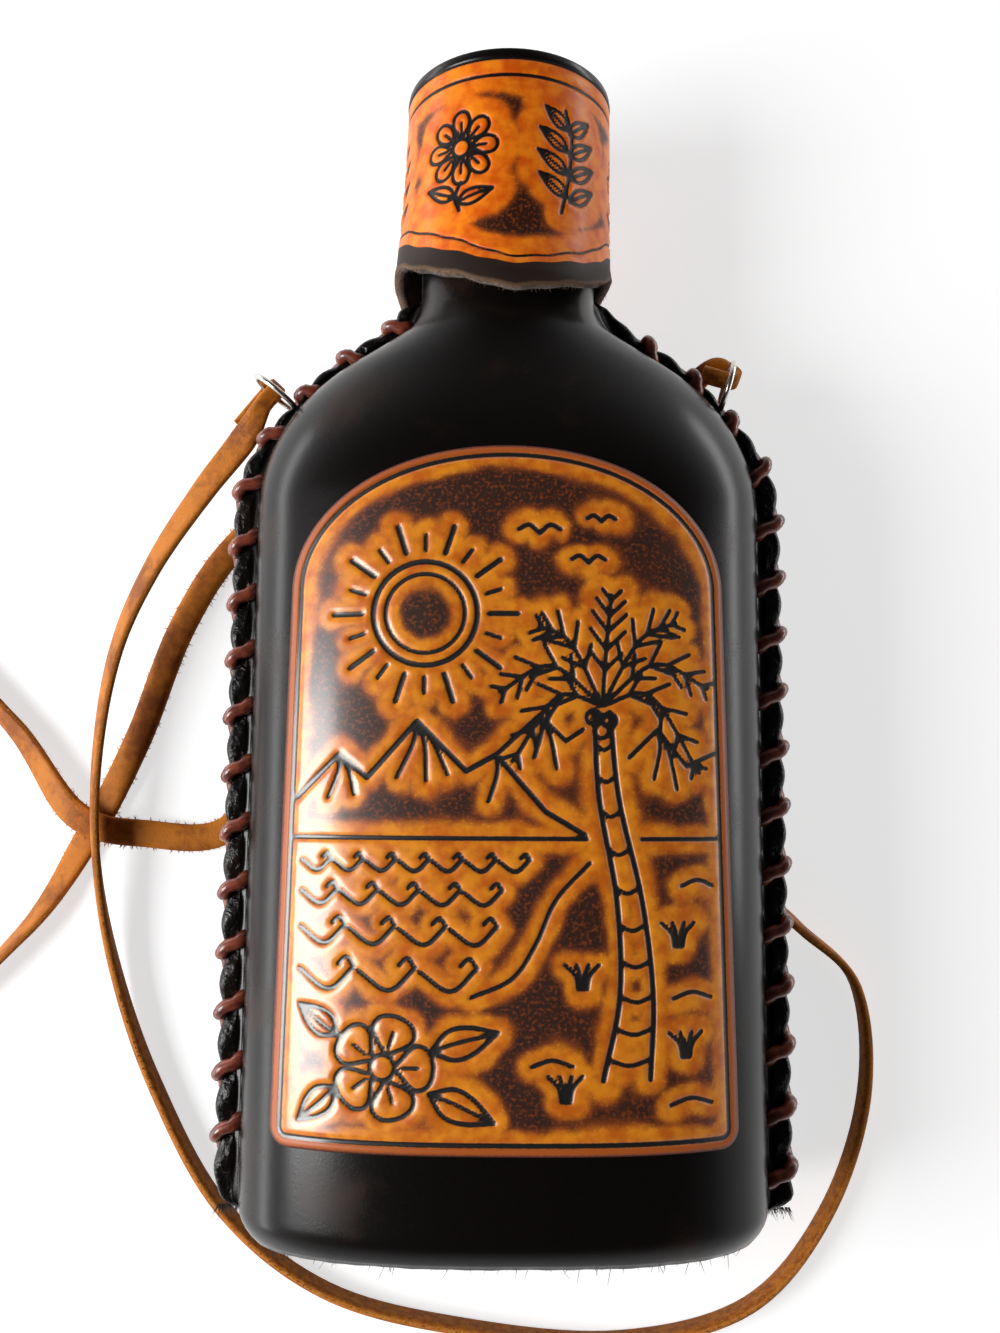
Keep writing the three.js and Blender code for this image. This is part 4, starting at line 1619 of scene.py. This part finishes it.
    def top(self) -> bpy.types.Object:
        """Disc on the cap, rounded over at its edge.

        Returns:
            The piece.
        """
        low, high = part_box("cap_top")
        radius, thick = high.x, high.y - low.y
        profile = [(0.0, 0.0), (radius, 0.0), (radius + 0.1 * MM, thick * 0.4)]
        for k in range(6):
            turn = math.pi / 2 * k / 5
            inward, upward = self.disc_round * (1 - math.cos(turn)), self.disc_round * math.sin(turn)
            profile.append((radius - inward, thick - self.disc_round + upward))
        profile += [(radius * 0.8, thick * 0.99), (radius * 0.4, thick), (0.0, thick)]
        bm = turned(profile, Vector((0, low.y, (low.z + high.z) / 2)), 96)
        return make_piece(bm, "cap_disc", "cap", [BLACK], ["cap_top"])


@dataclass
class ShoulderStrap:
    """Thin flat strap from ring to ring, lying loosely on the table.
    """

    left: ShoulderRing
    right: ShoulderRing
    width: float = 5.0 * MM
    end_width: float = 3.2 * MM
    thickness: float = 1.5 * MM
    loop_fit: float = 0.2 * MM
    lead: float = 3.0 * MM
    left_tail: float = 8.0 * MM
    right_tail: float = 4.5 * MM
    left_dip: float = math.radians(60)
    right_dip: float = math.radians(40)
    end_length: float = 66 * MM
    grip: float = 10 * MM
    slack: float = 36 * MM
    steps: int = 10
    bevel: float = 0.35 * MM
    fibres: int = 1300
    seed: int = 5

    # Middle line in millimetres and the lean of the width from flat, in degrees
    ROUTE = (
        (-47.2, 35.0, 18.2, 5), (-54.5, 25.9, 16.6, 22), (-63.5, 13.0, 14.0, 42),
        (-70.2, -1.5, 11.6, 55), (-73.6, -19.0, 9.2, 64), (-73.9, -38.0, 7.2, 71),
        (-70.8, -58.0, 4.0, 83), (-63.0, -79.5, 2.6, 90), (-50.0, -101.0, 2.6, 90),
        (-31.0, -115.0, 2.6, 90), (-6.0, -121.0, 2.6, 90), (21.0, -122.8, 2.6, 90),
        (43.5, -117.0, 2.6, 90), (57.5, -101.5, 2.6, 90), (65.0, -81.0, 2.6, 90),
        (64.0, -61.5, 2.7, 85), (54.0, -51.2, 2.7, 78), (45.5, -43.0, 2.7, 58),
        (41.0, -27.0, 1.7, 20), (39.0, 0.0, 0.9, 0), (30.5, 26.5, 0.9, 0),
        (9.5, 39.0, 0.9, 0), (-14.0, 40.0, 0.9, 0), (-35.0, 33.5, 0.9, 0),
        (-51.7, 19.6, 0.9, 0), (-61.5, 3.5, 0.9, 0), (-68.9, -17.5, 0.9, 0),
        (-77.5, -36.0, 1.3, 8), (-88.5, -53.5, 2.8, 60), (-110.0, -71.0, 2.6, 90),
        (-140.0, -67.0, 2.6, 90), (-155.0, -39.0, 2.6, 90), (-139.0, -8.0, 2.6, 90),
        (-111.0, 0.5, 2.6, 85), (-92.0, -15.0, 2.6, 45), (-79.0, -31.5, 3.8, 5),
        (-66.0, -35.0, 2.3, 0), (-51.5, -34.0, 1.0, 0), (-42.5, -18.0, 0.9, 0),
        (-39.5, 6.0, 1.1, 0), (-32.5, 30.5, 3.2, 0), (-17.0, 46.5, 2.4, 0),
        (2.0, 49.2, 1.3, 0), (23.5, 47.2, 6.2, 0), (31.0, 45.6, 11.6, 0),
    )

    def build(self) -> None:
        centres, across, widths = self.path()
        run = np.concatenate([[0], np.cumsum(np.linalg.norm(np.diff(centres, axis=0), axis=1))])
        first = int(np.searchsorted(run, self.end_length))
        last = int(np.searchsorted(run, run[-1] - self.end_length))
        stretches = {
            "strap_left_end": (0, first, "left_ring"),
            "strap_run": (first, last, None),
            "strap_right_end": (last, len(run) - 1, "right_ring"),
        }
        for name, (start, end, ring) in stretches.items():
            here = slice(start, end + 1)
            line = centres[here]
            body = None if ring else "bottle"
            bm = self.ribbon(line, across[here], widths[here])
            made = make_piece(bm, name, body, [STRAP], ["shoulder_strap"])
            if ring:
                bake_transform(made)
            loose = [] if ring else [self.fringe(line, across[here], widths[here])]

    def fringe(self, line: np.ndarray, across: np.ndarray, widths: np.ndarray) -> bpy.types.Object:
        """Loose fibres on the run's cut edges.

        Args:
            line: Points of the middle line.
            across: Way of the strap's width at each point.
            widths: Width at each point.

        Returns:
            The piece.
        """
        draw = random.Random(self.seed)
        steps = np.gradient(line, axis=0)
        bm = bmesh.new()
        for _ in range(self.fibres):
            k = draw.randrange(len(line))
            out = Vector(across[k]).normalized() * draw.choice((-1, 1))
            along = Vector(steps[k])
            root = Vector(line[k]) + along * draw.uniform(-0.5, 0.5) + out * widths[k] * 0.49
            way = out + along.normalized() * draw.uniform(-0.9, 0.9)
            way = way.normalized() * draw.uniform(0.35, 0.95) * MM
            way.z = max(way.z, 0.05 * MM - root.z)
            fibre(bm, root, way, 0.11 * MM)
        return make_piece(bm, "strap_fibres", "bottle", [STRAP])

    def loop(self, ring: ShoulderRing, side: int) -> tuple[list[Vector], Vector]:
        """A strap end folded round the lower outer part of a ring.

        Args:
            ring: The ring.
            side: -1 for the left, where the run leaves inside the ring, and 1 for the right.

        Returns:
            Points from the tail's cut end to the run, and the way the width lies there.
        """
        left, right = (self.left_dip, self.left_tail), (self.right_dip, self.right_tail)
        dip, tail = left if side < 0 else right
        radius = (ring.middle - ring.hole).length
        reach = (ring.middle - ring.hole).normalized()
        up = Vector((0, 0, 1))
        away = up.cross(reach)
        outer = reach * math.cos(dip) - up * math.sin(dip)
        across = reach * math.sin(dip) + up * math.cos(dip)
        wire_inner = math.sqrt((radius - ring.wire / 2) ** 2 - (self.end_width / 2) ** 2)
        wire_outer = radius + ring.wire / 2
        bend = (wire_outer - wire_inner + self.thickness + self.loop_fit) / 2
        wire = ring.middle + outer * (wire_inner + wire_outer) / 2
        points = [wire + away * tail - outer * side * bend]
        for k in range(5):
            turn = -math.pi / 2 - math.pi * k / 4
            points.append(wire + (away * math.cos(turn) + outer * side * math.sin(turn)) * bend)
        points.append(wire + away * self.lead + outer * side * bend)
        return points, across * -side

    def path(self) -> tuple[np.ndarray, np.ndarray, np.ndarray]:
        """Works out the whole strap from ring to ring.

        Returns:
            Points of the middle line, with the way and the size of the width at each.
        """
        left, left_across = self.loop(self.left, -1)
        right, right_across = self.loop(self.right, 1)
        route = np.array(self.ROUTE)
        points = np.vstack([left, route[:, :3] * MM, right[::-1]])
        line = through(points, self.steps)
        tangent = np.gradient(line, axis=0)[:: self.steps][len(left) : len(left) + len(route)]
        tangent /= np.linalg.norm(tangent, axis=1, keepdims=True)
        level = np.cross(tangent, [0.0, 0.0, 1.0])
        level /= np.linalg.norm(level, axis=1, keepdims=True)
        lean = np.radians(route[:, 3:])
        leaning = level * np.cos(lean) + np.cross(tangent, level) * np.sin(lean)
        across = np.vstack([[left_across] * len(left), leaning, [right_across] * len(right)])
        ends = [self.end_width] * len(left)
        widths = np.array([*ends, *[self.width] * len(route), *ends])
        place = np.linspace(0, len(points) - 1, len(line))
        known = np.arange(len(points))
        spread = [np.interp(place, known, column) for column in (*across.T, widths)]
        return line, np.stack(spread[:3], -1), spread[3]

    def ribbon(self, line: np.ndarray, across: np.ndarray, widths: np.ndarray) -> bmesh.types.BMesh:
        """Flat strap along a line, slightly crowned, with softened cuts.

        Args:
            line: Points of the middle line.
            across: Way of the strap's width at each point.
            widths: Width at each point.

        Returns:
            The closed strap, with the side of the leather at each vertex.
        """
        half, thick, cut = self.width / 2, self.thickness / 2, self.bevel
        quarter = [
            (half, 0.0),
            (half - 0.05 * MM, thick - cut),
            (half - cut, thick - 0.06 * MM),
            (half * 0.5, thick),
            (0.0, thick),
        ]
        upper = quarter + [(-x, y) for x, y in quarter[-2::-1]]
        outline = np.array(upper + [(x, -y) for x, y in upper[-2:0:-1]])
        sections = np.repeat(outline[None], len(line), axis=0)
        sections[..., 0] *= widths[:, None] / self.width
        bm = tube(line, across, sections)
        carry(bm, "side", np.tile(np.append(outline[:, 1], outline[0, 1]) / -thick, len(line)))
        close(bm)
        return bm


@dataclass
class Fibres:
    """Loose fibres along the raw cut edges of the cover."""

    seam: Seam
    form: FlaskForm
    foot_count: int = 420
    end_count: int = 70
    foot_reach: float = 0.92
    end_width: tuple[float, float] = (0.5 * MM, 4.5 * MM)
    longest: float = 4.5
    longest_end: float = 3.0
    seed: int = 7

    def build(self) -> bpy.types.Object:
        """Builds and dresses the fibres of the cover's foot and of the flanges' lower ends.

        Returns:
            The piece.
        """
        draw = random.Random(self.seed)
        bm = bmesh.new()
        self.foot(bm, draw)
        for side in (-1, 1):
            self.flange_end(bm, draw, side)
        return make_piece(bm, "loose_fibres", "bottle", [BLACK_SUEDE])

    def foot(self, bm: bmesh.types.BMesh, draw: random.Random) -> None:
        """Adds the fibres under the front half's foot.

        Args:
            bm: Mesh that they are added to.
            draw: Source of the random numbers.
        """
        low = self.seam.cover_foot
        for _ in range(self.foot_count):
            x = draw.uniform(-self.foot_reach, self.foot_reach) * self.form.width / 2
            height = float(self.form.height(np.array(x), np.array(low), np.array(0.0)))
            root = Vector((x, low + 0.1 * MM, height * draw.uniform(0.6, 0.98)))
            way = Vector((draw.uniform(-0.8, 0.8), -1.0, draw.uniform(-0.4, 0.6)))
            length = min(0.3 + draw.expovariate(1.5), self.longest) * MM
            fibre(bm, self.form.foot + root, way.normalized() * length)

    def flange_end(self, bm: bmesh.types.BMesh, draw: random.Random, side: int) -> None:
        """Adds the fibres of one flange's lower end.

        Args:
            bm: Mesh that they are added to.
            draw: Source of the random numbers.
            side: -1 for the left flange and 1 for the right.
        """
        inner = self.form.width / 2 + self.seam.cover_offset
        for _ in range(self.end_count):
            out = inner + draw.uniform(*self.end_width)
            root = Vector((side * out, self.seam.flange_foot, 0.4 * MM))
            way = Vector((side * draw.uniform(-0.2, 0.9), -1.0, draw.uniform(-0.4, 0.4)))
            length = min(0.6 + draw.expovariate(1.5), self.longest_end) * MM
            fibre(bm, self.form.foot + root - way * 0.5 * MM, way.normalized() * length)


@dataclass
class Studio:
    """White table, soft light and the photograph's camera."""

    table_size: float = 4.0
    focal_px: float = 1200.0
    sensor: float = 36.0
    eye: tuple[float, float, float] = (-0.0009, -0.0290, 0.2263)
    tilt: float = math.radians(6.5)
    roll: float = math.radians(0.35)
    table_grey: float = 0.6
    table_glow: float = 0.66
    horizon: float = 0.05
    overhead: float = 0.7
    horizon_light: float = 0.95
    overhead_light: float = 0.03

    def build(self) -> None:
        """Sets the camera, the table, the lamps and the surroundings."""
        self.camera()
        self.table()
        self.lamp("key", (-0.50, -0.10, 0.42), (-0.02, -0.05, 0.03), (0.30, 0.26), 4.0)
        self.lamp("left_strip", (-0.55, 0.05, 0.05), (0.0, 0.0, 0.03), (0.9, 0.08), 1.5)
        self.lamp("right_strip", (0.50, 0.20, 0.05), (0.0, 0.05, 0.03), (0.6, 0.08), 1.0)
        self.world()
        bpy.context.scene.view_settings.view_transform = "Standard"

    def camera(self) -> None:
        """Sets the camera at the photograph's place."""
        across = Vector((math.cos(self.roll), math.sin(self.roll), 0))
        north = Vector((-math.sin(self.roll), math.cos(self.roll), 0))
        up = Vector((0, 0, 1))
        back = up * math.cos(self.tilt) - north * math.sin(self.tilt)
        rise = north * math.cos(self.tilt) + up * math.sin(self.tilt)
        data = bpy.data.cameras.new("camera")
        data.sensor_width = self.sensor
        data.lens = self.focal_px / PHOTO_HEIGHT * self.sensor
        data.clip_start = 0.01
        camera = bpy.data.objects.new("camera", data)
        turn = Matrix((across, rise, back)).transposed().to_4x4()
        camera.matrix_world = Matrix.Translation(self.eye) @ turn
        bpy.context.scene.collection.objects.link(camera)
        bpy.context.scene.camera = camera

    def table(self) -> None:
        """Makes the white table top."""
        bm = bmesh.new()
        bmesh.ops.create_grid(bm, x_segments=1, y_segments=1, size=self.table_size / 2)
        mesh = bpy.data.meshes.new("table")
        bm.to_mesh(mesh)
        bm.free()
        table = bpy.data.objects.new("table", mesh)
        bpy.context.scene.collection.objects.link(table)
        table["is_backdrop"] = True
        paint = Paint("white_table")
        path = paint.node("ShaderNodeLightPath")
        shown = Value(paint, path.outputs["Is Camera Ray"])
        shown = shown + Value(paint, path.outputs["Is Glossy Ray"])
        shown = shown + Value(paint, path.outputs["Is Transmission Ray"])
        grey = (self.table_grey, self.table_grey, self.table_grey, 1.0)
        white = paint.node("ShaderNodeBsdfDiffuse", None, {"Color": grey})
        glow = paint.node("ShaderNodeEmission", None, {"Strength": shown * self.table_glow})
        both = paint.node("ShaderNodeAddShader", None, {0: white.outputs[0], 1: glow.outputs[0]})
        paint.tree.links.new(both.outputs[0], paint.output.inputs[0])
        mesh.materials.append(paint.material)

    def lamp(
        self,
        name: str,
        place: tuple[float, float, float],
        target: tuple[float, float, float],
        size: tuple[float, float],
        power: float,
    ) -> None:
        """Hangs a soft box.

        Args:
            name: Name of the lamp.
            place: Where it hangs.
            target: Point that it faces.
            size: Width and height of its face.
            power: Watts.
        """
        data = bpy.data.lights.new(name, "AREA")
        data.shape = "RECTANGLE"
        data.size, data.size_y = size
        data.energy = power
        lamp = bpy.data.objects.new(name, data)
        turn = (Vector(target) - Vector(place)).to_track_quat("-Z", "Y").to_matrix().to_4x4()
        lamp.matrix_world = Matrix.Translation(place) @ turn
        bpy.context.scene.collection.objects.link(lamp)

    def world(self) -> None:
        """Lights the surroundings: bright at the horizon, dim overhead."""
        world = bpy.data.worlds.new("studio")
        bpy.context.scene.world = world
        nodes = Nodes(world)
        way = nodes.node("ShaderNodeTexCoord").outputs["Generated"]
        height = nodes.node("ShaderNodeSeparateXYZ", None, {0: way}).outputs["Z"]
        dimming = Value(nodes, height).over(self.horizon, self.overhead)
        strength = self.horizon_light - dimming * (self.horizon_light - self.overhead_light)
        light = nodes.node("ShaderNodeBackground", None, {"Strength": strength})
        nodes.node("ShaderNodeOutputWorld", None, {0: light.outputs[0]})


def report_size() -> None:
    """Writes the boxes of the solids and of the dressed flask for comparison."""
    boxes = {"cad": CAD_BOX, "visual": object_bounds()}
    for name, (low, high) in boxes.items():
        log.info("%s box %s %s", name, tuple(low), tuple(high))


def main() -> None:
    """Builds the studio and the flask's pieces in order."""
    logging.basicConfig(level=logging.INFO, format="%(name)s %(message)s")
    form = FlaskForm.from_frame()
    seam = Seam(form)
    Studio().build()
    left, right = ShoulderRing("left"), ShoulderRing("right")
    ShoulderStrap(left, right).build()
    dress_node("glass_bottle", GLASS)
    for face in Face:
        LeatherHalf(form, seam, face).build()
    TooledPanel(form, seam).build()
    BasePatch(form).build()
    Lacing(form, seam).build()
    left.build()
    right.build()
    ScrewCap().build()
    Fibres(seam, form).build()
    report_size()


if __name__ == "__main__":
    main()
